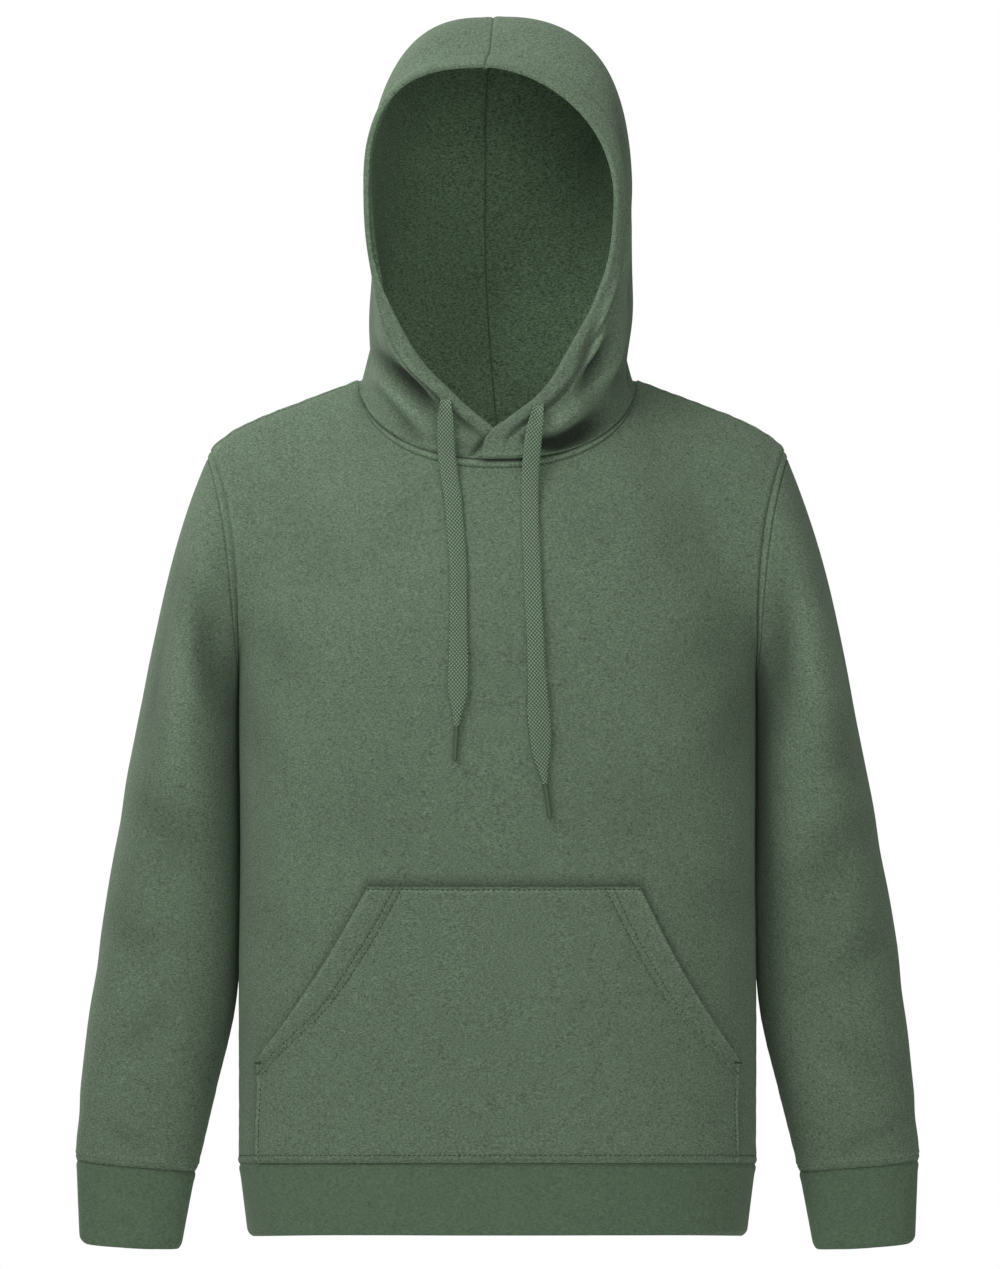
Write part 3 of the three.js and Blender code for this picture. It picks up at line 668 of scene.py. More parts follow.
def sway(points: Array, amount: float, phase: float) -> Array:
    """Wide, low undulations of cloth that hangs free.

    Args:
        points: The points, in mm.
        amount: Their height, in mm.
        phase: Where the waves start.

    Returns:
        The sum of four slow waves in slanting directions with uneven lengths.
    """
    x, y, z = points[..., 0], points[..., 1], points[..., 2]
    return amount * (np.sin(x / 23.0 + z / 61.0 + phase) * 0.5 + np.sin(y / 17.0 - z / 37.0 + 2 * phase) * 0.4
                     + np.sin(x / 41.0 - z / 29.0 + 3 * phase) * 0.6
                      + np.sin(z / 71.0 + y / 31.0 + phase) * 0.5) / 2


def relaxed(points: Array, weight: Array, rounds: int) -> Array:
    """Points drawn again and again towards the mean of the rows before and after, by a weight for each."""
    for _ in range(rounds):
        middle = (points[:-2] + points[2:]) / 2
        points = np.concatenate([points[:1], blend(points[1:-1], middle, weight[1:-1, :, None]), points[-1:]])
    return points


def add_mesh(name: str, points: Array, quads: Array, uvs: Array | None = None,
             parts: Array | None = None) -> bpy.types.Object:
    """Makes an object of quads.

    Args:
        name: The object's name.
        points: Its corners in mm, one row each.
        quads: Four corner numbers for each face.
        uvs: A place on the cloth for each corner of each face, in metres.
        parts: The material number of each face.

    Returns:
        The object, smooth, at the origin.
    """
    mesh = bpy.data.meshes.new(name)
    mesh.vertices.add(len(points))
    mesh.vertices.foreach_set("co", (points * MM).astype(np.float32).ravel())
    mesh.loops.add(quads.size)
    mesh.loops.foreach_set("vertex_index", quads.astype(np.int32).ravel())
    mesh.polygons.add(len(quads))
    mesh.polygons.foreach_set("loop_start", np.arange(0, quads.size, 4, dtype=np.int32))
    mesh.polygons.foreach_set("use_smooth", np.ones(len(quads), dtype=bool))
    if uvs is not None:
        layer = mesh.uv_layers.new(name="cloth")
        layer.data.foreach_set("uv", uvs.astype(np.float32).ravel())
    if parts is not None:
        mesh.polygons.foreach_set("material_index", parts.astype(np.int32))
    mesh.update(calc_edges=True)
    piece = bpy.data.objects.new(name, mesh)
    bpy.context.scene.collection.objects.link(piece)
    return piece


def grid_quads(rows: int, columns: int, wraps: bool, start: int = 0) -> Array:
    """The faces of a grid: for each cell its four corners, in order."""
    row, column = np.meshgrid(np.arange(rows - 1), np.arange(columns if wraps else columns - 1), indexing="ij")
    after = (column + 1) % columns
    cells = np.stack([row * columns + column, row * columns + after,
                      (row + 1) * columns + after, (row + 1) * columns + column], axis=-1)
    return cells.reshape(-1, 4) + start


def grid_uvs(surface: Surface) -> Array:
    """Places on the cloth for a surface's faces: metres across from its first column and up its columns."""
    across, along = surface.across * MM, surface.along * MM
    if surface.wraps:
        closing = np.linalg.norm(surface.points[:, 0] - surface.points[:, -1], axis=-1, keepdims=True) * MM
        across = np.concatenate([across, across[:, -1:] + closing], axis=1)
        along = np.concatenate([along, along[:, :1]], axis=1)
    uv = np.stack([across, along], axis=-1)
    return np.stack([uv[:-1, :-1], uv[:-1, 1:], uv[1:, 1:], uv[1:, :-1]], axis=2).reshape(-1, 4, 2)


# Creases and seams are also painted: painted shade in the troughs, painted highlight on the ridges.
# The colour changes by this share for each mm of relief, within a range.
# It is shade and highlight painted into the colour, not cast by the lights, so it stays the same when the lights
# change.
FOLD_SHADE_TONE = 0.085
FOLD_SHADE_RANGE = (0.25, 1.22)
# How strongly the painted shade and highlight of the body's and the sleeves' folds and of the sewn seams,
# and the painted shadow on the line outside the pocket, are laid on.
BODY_FOLD_SHADE = 0.6
SLEEVE_FOLD_SHADE = 0.8
SEAM_SHADE = 2.2
POCKET_SHADE = 5.5


def add_cloth(name: str, surface: Surface, thick: Array | float, finish: "Finish", lining: "Finish",
              open_edges: tuple[Edge, ...] = (), fold: Array | None = None) -> bpy.types.Object:
    """A closed wall of cloth behind a surface.

    The outside and the inside lie half the thickness to each side of a middle sheet. Beside an open edge that half
    thickness follows a quarter circle down to nothing, so that the edge is round, and at a seam it stays whole.

    Args:
        name: The piece.
        surface: Its outside.
        thick: Its thickness in mm, one number or one for each point.
        finish: The outside's finish.
        lining: The inside's finish.
        open_edges: Edges that show, which are rounded.
        fold: Height of its folds in mm, by which the finish's colour is painted darker or lighter: painted shade
            in the troughs and painted highlight on the ridges. It is a chosen tone, set against the photograph, and not
            cast by the lights.

    Returns:
        The object.
    """
    full = np.broadcast_to(np.asarray(thick, float) / 2, surface.along.shape)
    half = full
    for edge in open_edges:
        gap = np.clip(surface.distance(edge) / (1.2 * full), 0, 1)
        half = np.minimum(half, full * np.sqrt(np.maximum(1 - (1 - gap) ** 2, 0.0004)))
    middle = surface.points - surface.normals * full[..., None]
    outer = middle + surface.normals * half[..., None]
    inner = middle - surface.normals * half[..., None]
    rows, columns = half.shape
    count = rows * columns
    outside = grid_quads(rows, columns, surface.wraps)
    inside = outside[:, ::-1] + count
    uvs = grid_uvs(surface)
    faces = [outside, inside]
    places = [uvs, uvs[:, ::-1]]
    parts = [np.zeros(len(outside)), np.ones(len(inside))]
    borders = [np.arange(columns)[::-1], (rows - 1) * columns + np.arange(columns)]
    if surface.wraps:
        borders = [np.append(border, border[0]) for border in borders]
    else:
        borders += [np.arange(rows) * columns, (np.arange(rows) * columns + columns - 1)[::-1]]
    flat_uv = np.stack([surface.across.ravel(), surface.along.ravel()], axis=-1) * MM
    for border in borders:
        here, after = border[:-1], border[1:]
        rim = np.stack([here, after, after + count, here + count], axis=-1)
        faces.append(rim)
        places.append(flat_uv[rim % count])
        parts.append(np.zeros(len(rim)))
    points = np.concatenate([outer.reshape(-1, 3), inner.reshape(-1, 3)])
    faces, places, parts = np.concatenate(faces), np.concatenate(places), np.concatenate(parts)
    a, b, c = (points[faces[: len(outside), k]] for k in range(3))
    if np.einsum("ij,ij->i", np.cross(b - a, c - b), surface_face_normals(surface, outside)).sum() < 0:
        faces, places = faces[:, ::-1], places[:, ::-1]
    piece = add_mesh(name, points, faces, places, parts)
    # The 'fold' attribute: painted shade in the folds' troughs and along the seams, painted highlight on the ridges.
    tone = np.ones((2, count))
    if fold is not None:
        tone[0] = np.clip(1 + FOLD_SHADE_TONE * fold.ravel(), *FOLD_SHADE_RANGE)
    painted_shade = piece.data.attributes.new("fold", "FLOAT", "POINT").data
    painted_shade.foreach_set("value", tone.astype(np.float32).ravel())
    piece.data.materials.append(finish.material())
    piece.data.materials.append(lining.material())
    log.info("%s: %d faces", name, len(faces))
    return piece


def surface_face_normals(surface: Surface, quads: Array) -> Array:
    """The way out at the first corner of each face."""
    return surface.normals.reshape(-1, 3)[quads[:, 0]]


@dataclass
class Value:
    """A number in a material, which takes part in sums like any other number."""

    shader: "Shader"
    socket: bpy.types.NodeSocket

    def _math(self, operation: str, *terms: "Value | float | None") -> "Value":
        inputs = {place: term for place, term in enumerate(terms) if term is not None}
        return self.shader.value("ShaderNodeMath", {"operation": operation}, inputs)

    def __add__(self, other: "Value | float") -> "Value":
        return self._math("ADD", self, other)

    def __radd__(self, other: float) -> "Value":
        return self._math("ADD", other, self)

    def __sub__(self, other: "Value | float") -> "Value":
        return self._math("SUBTRACT", self, other)

    def __rsub__(self, other: float) -> "Value":
        return self._math("SUBTRACT", other, self)

    def __mul__(self, other: "Value | float") -> "Value":
        return self._math("MULTIPLY", self, other)

    def __rmul__(self, other: float) -> "Value":
        return self._math("MULTIPLY", other, self)

    def __truediv__(self, other: "Value | float") -> "Value":
        return self._math("DIVIDE", self, other)

    def __rtruediv__(self, other: float) -> "Value":
        return self._math("DIVIDE", other, self)

    def __pow__(self, other: "Value | float") -> "Value":
        return self._math("POWER", self, other)

    def sine(self) -> "Value":
        """The sine, with the number as an angle in radians."""
        return self._math("SINE", self)

    def size(self) -> "Value":
        """The number without its sign."""
        return self._math("ABSOLUTE", self)

    def step(self, low: float, high: float) -> "Value":
        """A smooth step from 0 at low to 1 at high."""
        return self.shader.value("ShaderNodeMapRange", {"interpolation_type": "SMOOTHSTEP"},
                                 {0: self, 1: low, 2: high, 3: 0.0, 4: 1.0})


class Shader:
    """Builds one material's nodes round its Principled surface."""

    def __init__(self, name: str) -> None:
        self.material = bpy.data.materials.new(name)
        self.material.use_nodes = True
        self.tree = self.material.node_tree
        self.surface = next(node for node in self.tree.nodes if node.type == "BSDF_PRINCIPLED")

    def node(self, kind: str, settings: dict[str, object] | None = None,
             inputs: dict[int | str, object] | None = None) -> bpy.types.Node:
        """Adds a node.

        Args:
            kind: Its type.
            settings: Its own settings by name.
            inputs: What goes into each input, a Value, a socket or a constant.

        Returns:
            The node.
        """
        made = self.tree.nodes.new(kind)
        for name, setting in (settings or {}).items():
            setattr(made, name, setting)
        for place, term in (inputs or {}).items():
            self.join(made.inputs[place], term)
        return made

    def join(self, target: bpy.types.NodeSocket, term: object) -> None:
        """Links a Value or socket to an input, or sets the input to a constant."""
        if isinstance(term, Value):
            self.tree.links.new(term.socket, target)
        elif isinstance(term, bpy.types.NodeSocket):
            self.tree.links.new(term, target)
        else:
            target.default_value = term

    def value(self, kind: str, settings: dict[str, object] | None = None,
              inputs: dict[int | str, object] | None = None) -> Value:
        """Adds a node and gives its first output as a number."""
        return Value(self, self.node(kind, settings, inputs).outputs[0])

    def cloth(self, name: str = "cloth") -> tuple[Value, Value]:
        """The place on the cloth in millimetres, across and along."""
        place = self.node("ShaderNodeUVMap", {"uv_map": name}).outputs[0]
        parts = self.node("ShaderNodeSeparateXYZ", inputs={0: place})
        return Value(self, parts.outputs[0]) * 1000.0, Value(self, parts.outputs[1]) * 1000.0

    def solid(self, x: float = 1.0, y: float = 1.0, z: float = 1.0) -> bpy.types.NodeSocket:
        """The place in the object in millimetres, each axis times a number."""
        place = self.node("ShaderNodeTexCoord").outputs["Object"]
        factors = (x * 1000.0, y * 1000.0, z * 1000.0)
        return self.node("ShaderNodeVectorMath", {"operation": "MULTIPLY"}, {0: place, 1: factors}).outputs[0]

    def vector(self, x: Value | float, y: Value | float, z: Value | float = 0.0) -> bpy.types.NodeSocket:
        """Three numbers as a vector."""
        return self.node("ShaderNodeCombineXYZ", inputs={0: x, 1: y, 2: z}).outputs[0]

    def noise(self, place: bpy.types.NodeSocket, scale: float, detail: float = 2.0,
              rough: float = 0.5) -> Value:
        """Noise from about 0 to 1 whose patches are one over the scale wide."""
        return self.value("ShaderNodeTexNoise", {"noise_dimensions": "3D"},
                          {"Vector": place, "Scale": scale, "Detail": detail, "Roughness": rough})

    def tinted(self, colour: tuple[float, float, float], factor: Value) -> bpy.types.NodeSocket:
        """A colour made lighter or darker by a number."""
        made = self.node("ShaderNodeVectorMath", {"operation": "SCALE"}, {0: colour, "Scale": factor})
        return made.outputs[0]

    def bump(self, height: Value) -> None:
        """Gives the surface a relief whose height is in metres."""
        made = self.node("ShaderNodeBump", inputs={"Strength": 1.0, "Distance": 1.0, "Height": height})
        self.tree.links.new(made.outputs[0], self.surface.inputs["Normal"])

    def finish(self, colour: object, roughness: float, sheen: float = 0.0, metallic: float = 0.0) -> None:
        """Sets the surface's colour and its plain numbers."""
        self.join(self.surface.inputs["Base Color"], colour)
        self.surface.inputs["Roughness"].default_value = roughness
        self.surface.inputs["Metallic"].default_value = metallic
        self.surface.inputs["Specular IOR Level"].default_value = 0.28
        self.surface.inputs["Sheen Weight"].default_value = sheen
        self.surface.inputs["Sheen Roughness"].default_value = 0.45
        self.surface.inputs["Sheen Tint"].default_value = (0.75, 0.9, 0.72, 1.0)


@dataclass(frozen=True)
class Finish:
    """A plain finish, and what all finishes share.

    Attributes:
        name: The material's name.
        colour: Its colour in linear red, green and blue.
        roughness: How matt it is.
        sheen: How much light its nap catches at a grazing angle.
    """

    name: str
    colour: tuple[float, float, float]
    roughness: float = 0.9
    sheen: float = 0.0

    def material(self) -> bpy.types.Material:
        """The finish's material, made at its first use."""
        return bpy.data.materials.get(self.name) or self.build()

    def build(self) -> bpy.types.Material:
        """Makes the material."""
        shader = Shader(self.name)
        shader.finish((*self.colour, 1.0), self.roughness, self.sheen)
        return shader.material


@dataclass(frozen=True)
class Fleece(Finish):
    """Brushed sweatshirt knit: a fine heathery grain over faint upright wales.

    Attributes:
        grain: How far the fine grain lightens and darkens it.
        mottle: How far its wider patches do.
        nap: Height of the fuzz in mm.
        pitch: Width of a patch of the fine grain in mm.
        wale: Width of one column of loops in mm.
        loop: Height of the loops in mm.
    """

    grain: float = 1.05
    mottle: float = 0.1
    nap: float = 0.26
    pitch: float = 1.3
    wale: float = 1.5
    loop: float = 0.05

    def build(self) -> bpy.types.Material:
        shader = Shader(self.name)
        across, _ = shader.cloth()
        place = shader.solid(0.7, 0.7, 1.4)
        # The 'fold' attribute darkens the colour in folds and seams and lightens it on ridges: painted shade and
        # painted highlight.
        fold = Value(shader, shader.node("ShaderNodeAttribute", {"attribute_name": "fold"}).outputs["Fac"])
        fine = shader.noise(place, 1 / self.pitch, 2.0, 0.5)
        fuzz = shader.noise(place, 2.9 / self.pitch, 2.0, 0.6)
        patch = shader.noise(shader.solid(), 0.05, 3.0, 0.6)
        wales = (across * (2 * math.pi / self.wale) + (fuzz - 0.5) * 2.2).sine()
        shade = (1.0 + (fine - 0.5) * (2 * self.grain) + (fuzz - 0.5) * (0.7 * self.grain)
                 + (patch - 0.5) * (2 * self.mottle))
        shader.finish(shader.tinted(self.colour, (shade + wales * 0.04) * fold), self.roughness, self.sheen)
        shader.bump((fine * self.nap + fuzz * (self.nap * 0.6) + wales * self.loop) * MM)
        return shader.material


@dataclass(frozen=True)
class Rib(Finish):
    """Fine rib knit: upright ribs with narrow furrows darkened by painted shade, and a little grain.

    Attributes:
        pitch: Width of one rib with its furrow in mm.
        relief: Height of the ribs in mm.
        furrow_shade: How much darker the furrows are.
    """

    pitch: float = 2.3
    relief: float = 0.2
    furrow_shade: float = 0.1

    def build(self) -> bpy.types.Material:
        shader = Shader(self.name)
        across, _ = shader.cloth()
        fine = shader.noise(shader.solid(0.6, 0.6, 1.5), 0.62, 3.0, 0.7)
        slow = shader.noise(shader.solid(), 0.06, 2.0, 0.5)
        wave = (across * (math.pi / self.pitch) + (fine - 0.5) * 0.5).sine().size()
        rib = wave ** 0.6
        # The furrows are painted darker than the ribs: painted shade in the rib's hollows.
        shade = (1.0 - self.furrow_shade) + rib * (self.furrow_shade * 1.2) + (fine - 0.5) * 1.7 + (slow - 0.5) * 0.16
        shader.finish(shader.tinted(self.colour, shade), self.roughness, self.sheen)
        shader.bump((rib * self.relief + fine * 0.14) * MM)
        return shader.material


@dataclass(frozen=True)
class Braid(Finish):
    """Flat cotton braid: two sets of slanting yarns whose crossings make small diamonds.

    Attributes:
        cell: Width of a diamond in mm.
        tall: Its height along the cord in mm.
    """

    cell: float = 2.8
    tall: float = 3.2

    def build(self) -> bpy.types.Material:
        shader = Shader(self.name)
        across, along = shader.cloth()
        fine = shader.noise(shader.vector(across, along), 1.5, 2.0, 0.6)
        rise = (across / self.cell + along / self.tall) * math.pi
        fall = (across / self.cell - along / self.tall) * math.pi
        knot = rise.sine().size() * fall.sine().size()
        # The colour is painted lighter on the raised crossings and darker between them: painted highlight and painted
        # shade of the braid's relief.
        shade = 0.32 + knot * 1.6 + (fine - 0.5) * 0.6
        shader.finish(shader.tinted(self.colour, shade), self.roughness, self.sheen)
        shader.bump((knot * 0.45 + fine * 0.1) * MM)
        return shader.material


FLEECE = Fleece("sweat_face", (0.1085, 0.156, 0.1025), 0.92, 0.12)
# The inside is coloured lighter than the face: painted light that brightens the shaded inside of the hood.
FLEECE_INSIDE = Fleece("sweat_back", (0.123, 0.195, 0.115), 0.96, 0.1, grain=1.3, nap=0.36,
                       pitch=1.7, wale=2.1, loop=0.14)
RIB_KNIT = Rib("rib_knit", (0.089, 0.137, 0.084), 0.92, 0.1)
RIB_INSIDE = Rib("rib_inside", (0.088, 0.135, 0.084), 0.94, 0.08)
CORD_BRAID = Braid("cord_braid", (0.118, 0.175, 0.113), 0.88, 0.1)
TIP = Finish("cord_tip", (0.062, 0.1, 0.059), 0.38)
THREAD = Finish("sewing", (0.066, 0.104, 0.063), 0.7)
# Dark thread for the stitches: its darkness is painted shade of the stitch holes and grooves.
SHADE = Finish("sewing_shade", (0.04, 0.062, 0.038), 0.9)


@dataclass(frozen=True)
class Stitching:
    """Rows of single stitches, each a short thread that dips into the cloth at both ends.

    Attributes:
        length: Of a stitch, in mm.
        gap: Between two, in mm.
        thick: Of the thread, in mm.
        finish: The thread's finish.
    """

    length: float = 2.9
    gap: float = 0.7
    thick: float = 0.46
    finish: Finish = THREAD

    def threads(self, line: tuple[Array, Array]) -> tuple[Array, Array]:
        """The stitches along a line.

        Each is a tube of five rings of five points, whose middle rises out of the cloth and whose ends lie under it.

        Args:
            line: Points along it and the directions outwards there.

        Returns:
            Corners in mm and the faces' corner numbers.
        """
        points, normals = line
        run = np.concatenate([[0], np.cumsum(np.linalg.norm(np.diff(points, axis=0), axis=1))])
        count = max(int(run[-1] // (self.length + self.gap)), 1)
        middle = (np.arange(count) + 0.5) * run[-1] / count
        place = middle[:, None] + self.length * np.array([-0.5, -0.38, 0.0, 0.38, 0.5])
        height = self.thick * np.array([-0.9, 0.05, 0.3, 0.05, -0.9])
        radius = self.thick / 2 * np.array([0.6, 0.9, 1.0, 0.9, 0.6])

        def read(table: Array, at: Array) -> Array:
            return np.stack([np.interp(at, run, table[:, axis]) for axis in range(3)], axis=-1)

        out = unit(read(normals, place))
        ahead = unit(read(points, place + 0.4) - read(points, place - 0.4))
        aside = unit(np.cross(ahead, out))
        centre = read(points, place) + out * height[None, :, None]
        turn = np.arange(5) * 2 * math.pi / 5
        rings = (centre[:, :, None] + radius[None, :, None, None]
                 * (aside[:, :, None] * np.cos(turn)[:, None] + out[:, :, None] * np.sin(turn)[:, None]))
        one = grid_quads(5, 5, True)
        quads = (one[None] + 25 * np.arange(count)[:, None, None]).reshape(-1, 4)
        return rings.reshape(-1, 3), quads

    def sew(self, name: str, lines: list[tuple[Array, Array]]) -> bpy.types.Object:
        """Makes one object of the stitches along several lines."""
        points: list[Array] = []
        quads: list[Array] = []
        start = 0
        for line in lines:
            corners, faces = self.threads(line)
            points.append(corners)
            quads.append(faces + start)
            start += len(corners)
        piece = add_mesh(name, np.concatenate(points), np.concatenate(quads))
        piece.data.materials.append(self.finish.material())
        log.info("%s: %d stitches", name, start // 25)
        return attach(piece, "root")


@dataclass
class Body:
    """The front and back panels, sewn at the shoulders and down the sides.

    Attributes:
        columns: Steps across a panel.
        rows: Steps up its straight part.
        yoke_rows: Steps up from the chest to the shoulders.
        front_cut: Flat width and length of the front panel, in metres; not used.
        back_cut: Those of the back panel; not used.
        front_area: Flat area of the front panel, in square metres; not used.
        back_area: That of the back panel; not used.
    """

    columns: int = 176
    rows: int = 66
    yoke_rows: int = 78
    front_cut: tuple[float, float] = (0.59, 0.66)
    back_cut: tuple[float, float] = (0.59, 0.70)
    front_area: float = 0.33
    back_area: float = 0.35
    front_creases: tuple[Crease, ...] = (
        Crease((-196, -196), (-158, -268), 20, -2.6, 6),
        Crease((-204, -236), (-176, -330), 17, -2.0, -5),
        Crease((198, -188), (158, -262), 24, -1.6, -7),
        Crease((205, -232), (170, -322), 18, -2.4, 6),
        Crease((-172, -96), (-132, -176), 26, -1.6, 5),
        Crease((176, -92), (140, -170), 28, -1.0, -6),
        Crease((-60, -84), (-104, -158), 22, -1.2, -4),
        Crease((48, -84), (92, -150), 24, -1.3, 5),
        Crease((-206, -420), (-160, -474), 22, -1.6, 4),
        Crease((206, -400), (150, -446), 24, -1.8, -5),
        Crease((-204, -560), (-150, -604), 20, -1.8, 6),
        Crease((205, -572), (158, -612), 18, -1.6, -4),
        Crease((-150, -340), (-60, -372), 30, -1.0, 6),
        Crease((70, -330), (160, -366), 32, -1.1, -7),
    )
    back_creases: tuple[Crease, ...] = (
        Crease((-176, -190), (-90, -300), 30, -4.0, 8, View.BACK),
        Crease((170, -205), (96, -290), 26, -4.0, -8, View.BACK),
        Crease((-120, -575), (20, -545), 26, -3.0, 6, View.BACK),
        Crease((-196, -140), (-120, -236), 20, -2.6, 6, View.BACK),
        Crease((196, -150), (140, -226), 22, -2.4, -7, View.BACK),
        Crease((-90, -60), (-20, -92), 22, -2.2, 8, View.BACK),
        Crease((96, -64), (24, -98), 24, -2.0, -8, View.BACK),
        Crease((-200, -330), (-110, -404), 24, -2.2, 7, View.BACK),
        Crease((200, -352), (120, -430), 28, -2.6, -6, View.BACK),
        Crease((60, -590), (186, -560), 20, -2.2, 5, View.BACK),
        Crease((-60, -140), (50, -150), 34, -1.6, 8, View.BACK),
        Crease((-40, -420), (90, -470), 30, -1.6, -6, View.BACK),
    )

    def points(self, across: Array, height: Array, facing: Facing) -> Array:
        """Points of a panel: height 0 to 1 up its straight part and 1 to 2 up its yoke.

        Below the shoulders each point of the yoke is the mean of six to its sides, which takes the corner at the neck
        point out of the cloth.
        """
        z = blend(HEM_Z, ARMPIT_Z, np.minimum(height, 1))
        low = torso_section(z, across * math.pi, facing)
        up = np.clip(height - 1, 0, 1)
        reach = 0.075 * (1 - smooth(0.5, 1.0, up)) * smooth(0, 0.16, np.minimum(across, 1 - across))
        high = sum(share * yoke(np.clip(across + step * reach, 0, 1), up, facing)
                   for step, share in ((-1.0, 0.1), (-0.6, 0.17), (-0.25, 0.23), (0.25, 0.23), (0.6, 0.17), (1.0, 0.1)))
        return np.where((height > 1)[..., None], high, low)

    def panel(self, facing: Facing) -> Surface:
        """A panel's bare surface, with the directions it shares at its seams."""
        low = graded(2 * self.rows + 1)[: self.rows + 1] * 2
        high = 2 - graded(2 * self.yoke_rows + 1)[: self.yoke_rows][::-1] * 2
        height, across = np.meshgrid(np.concatenate([low, high]), graded(self.columns + 1), indexing="ij")
        inside = smooth(0, 0.02, np.minimum(across, 1 - across))
        points = relaxed(self.points(across, height, facing), 0.5 * bell(height - 1, 0.14) * inside, 60)
        surface = Surface.of(points, False, 1.0 if facing is Facing.FRONT else -1.0)
        ends = height[:, 0]
        for edge, side in ((Edge.LEFT, -1), (Edge.RIGHT, 1)):
            turn = -facing.value * math.pi * (1 - np.clip(ends - 1, 0, 1))
            out = np.where((ends < 1)[:, None], np.array([float(side), 0.0, 0.0]), armhole_normal(side, turn))
            surface.lead(edge, out)
        top = surface.points[-1]
        place = np.abs((across[-1] * PANEL_STEPS - SHOULDER_STEPS) / NECK_STEPS * 2 - 1)
        side = np.sign(across[-1] - 0.5)
        on_shoulder = unit(stack(side * 0.43, 0.0, 0.9))
        share = smooth(0.98, 1.04, place)[:, None]
        surface.lead(Edge.LAST, unit(blend(neck_normal(top), on_shoulder, share)))
        surface.lead(Edge.FIRST, unit(surface.normals[0] * np.array([1.0, 1.0, 0.0])))
        return surface

    def hang(self, surface: Surface, facing: Facing) -> Array:
        """The cloth's own relief on a panel: its creases and a slight sway."""
        creases = self.front_creases if facing is Facing.FRONT else self.back_creases
        height = sway(surface.points, 0.8, 1.0 if facing is Facing.FRONT else 2.3)
        return height + sum(crease.relief(surface.points, surface.normals) for crease in creases)

    def sewing(self, surface: Surface) -> Array:
        """The relief of a panel's seams: hem, sides and armholes, shoulders and neck."""
        plain = Seam(dip=0.5, pucker=0.12)
        hem = Seam(dip=0.8, rows=(6.5,), bite=0.7)
        height = hem.relief(surface.distance(Edge.FIRST), surface.run(Edge.FIRST), 0.4)
        for edge, phase in ((Edge.LEFT, 1.1), (Edge.RIGHT, 2.4)):
            height = height + plain.relief(surface.distance(edge), surface.run(edge), phase)
        neck = Seam(dip=1.6, puff=1.2, reach=3.5, rows=(7.0,), bite=1.3)
        return height + neck.relief(surface.distance(Edge.LAST), surface.run(Edge.LAST), 3.0)

    def build(self, facing: Facing) -> Surface:
        """Makes one panel and its stitches."""
        name = facing.name.lower()
        surface = self.panel(facing)
        edge_gap = np.minimum(np.minimum(surface.distance(Edge.LEFT), surface.distance(Edge.RIGHT)),
                              np.minimum(surface.distance(Edge.FIRST), surface.distance(Edge.LAST)))
        hang = self.hang(surface, facing) * smooth(0, 14, edge_gap)
        sewn = self.sewing(surface)
        # Painted shade and highlight of the panel's folds and seams, and a painted shadow outside the pocket's edges.
        fold = BODY_FOLD_SHADE * hang + SEAM_SHADE * sewn
        if facing is Facing.FRONT:
            fold = fold - POCKET_SHADE * Pocket().mark(surface.points)
        surface.raised(hang + sewn)
        piece = add_cloth(name, surface, CLOTH, FLEECE, FLEECE_INSIDE, fold=fold)
        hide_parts(name)
        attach(piece, "root")
        lines = [surface.line(Edge.LAST, 7.0), surface.line(Edge.FIRST, 6.5)]
        Stitching(2.7, 0.9, 0.6, SHADE).sew(f"stitches_{name}", lines)
        return surface


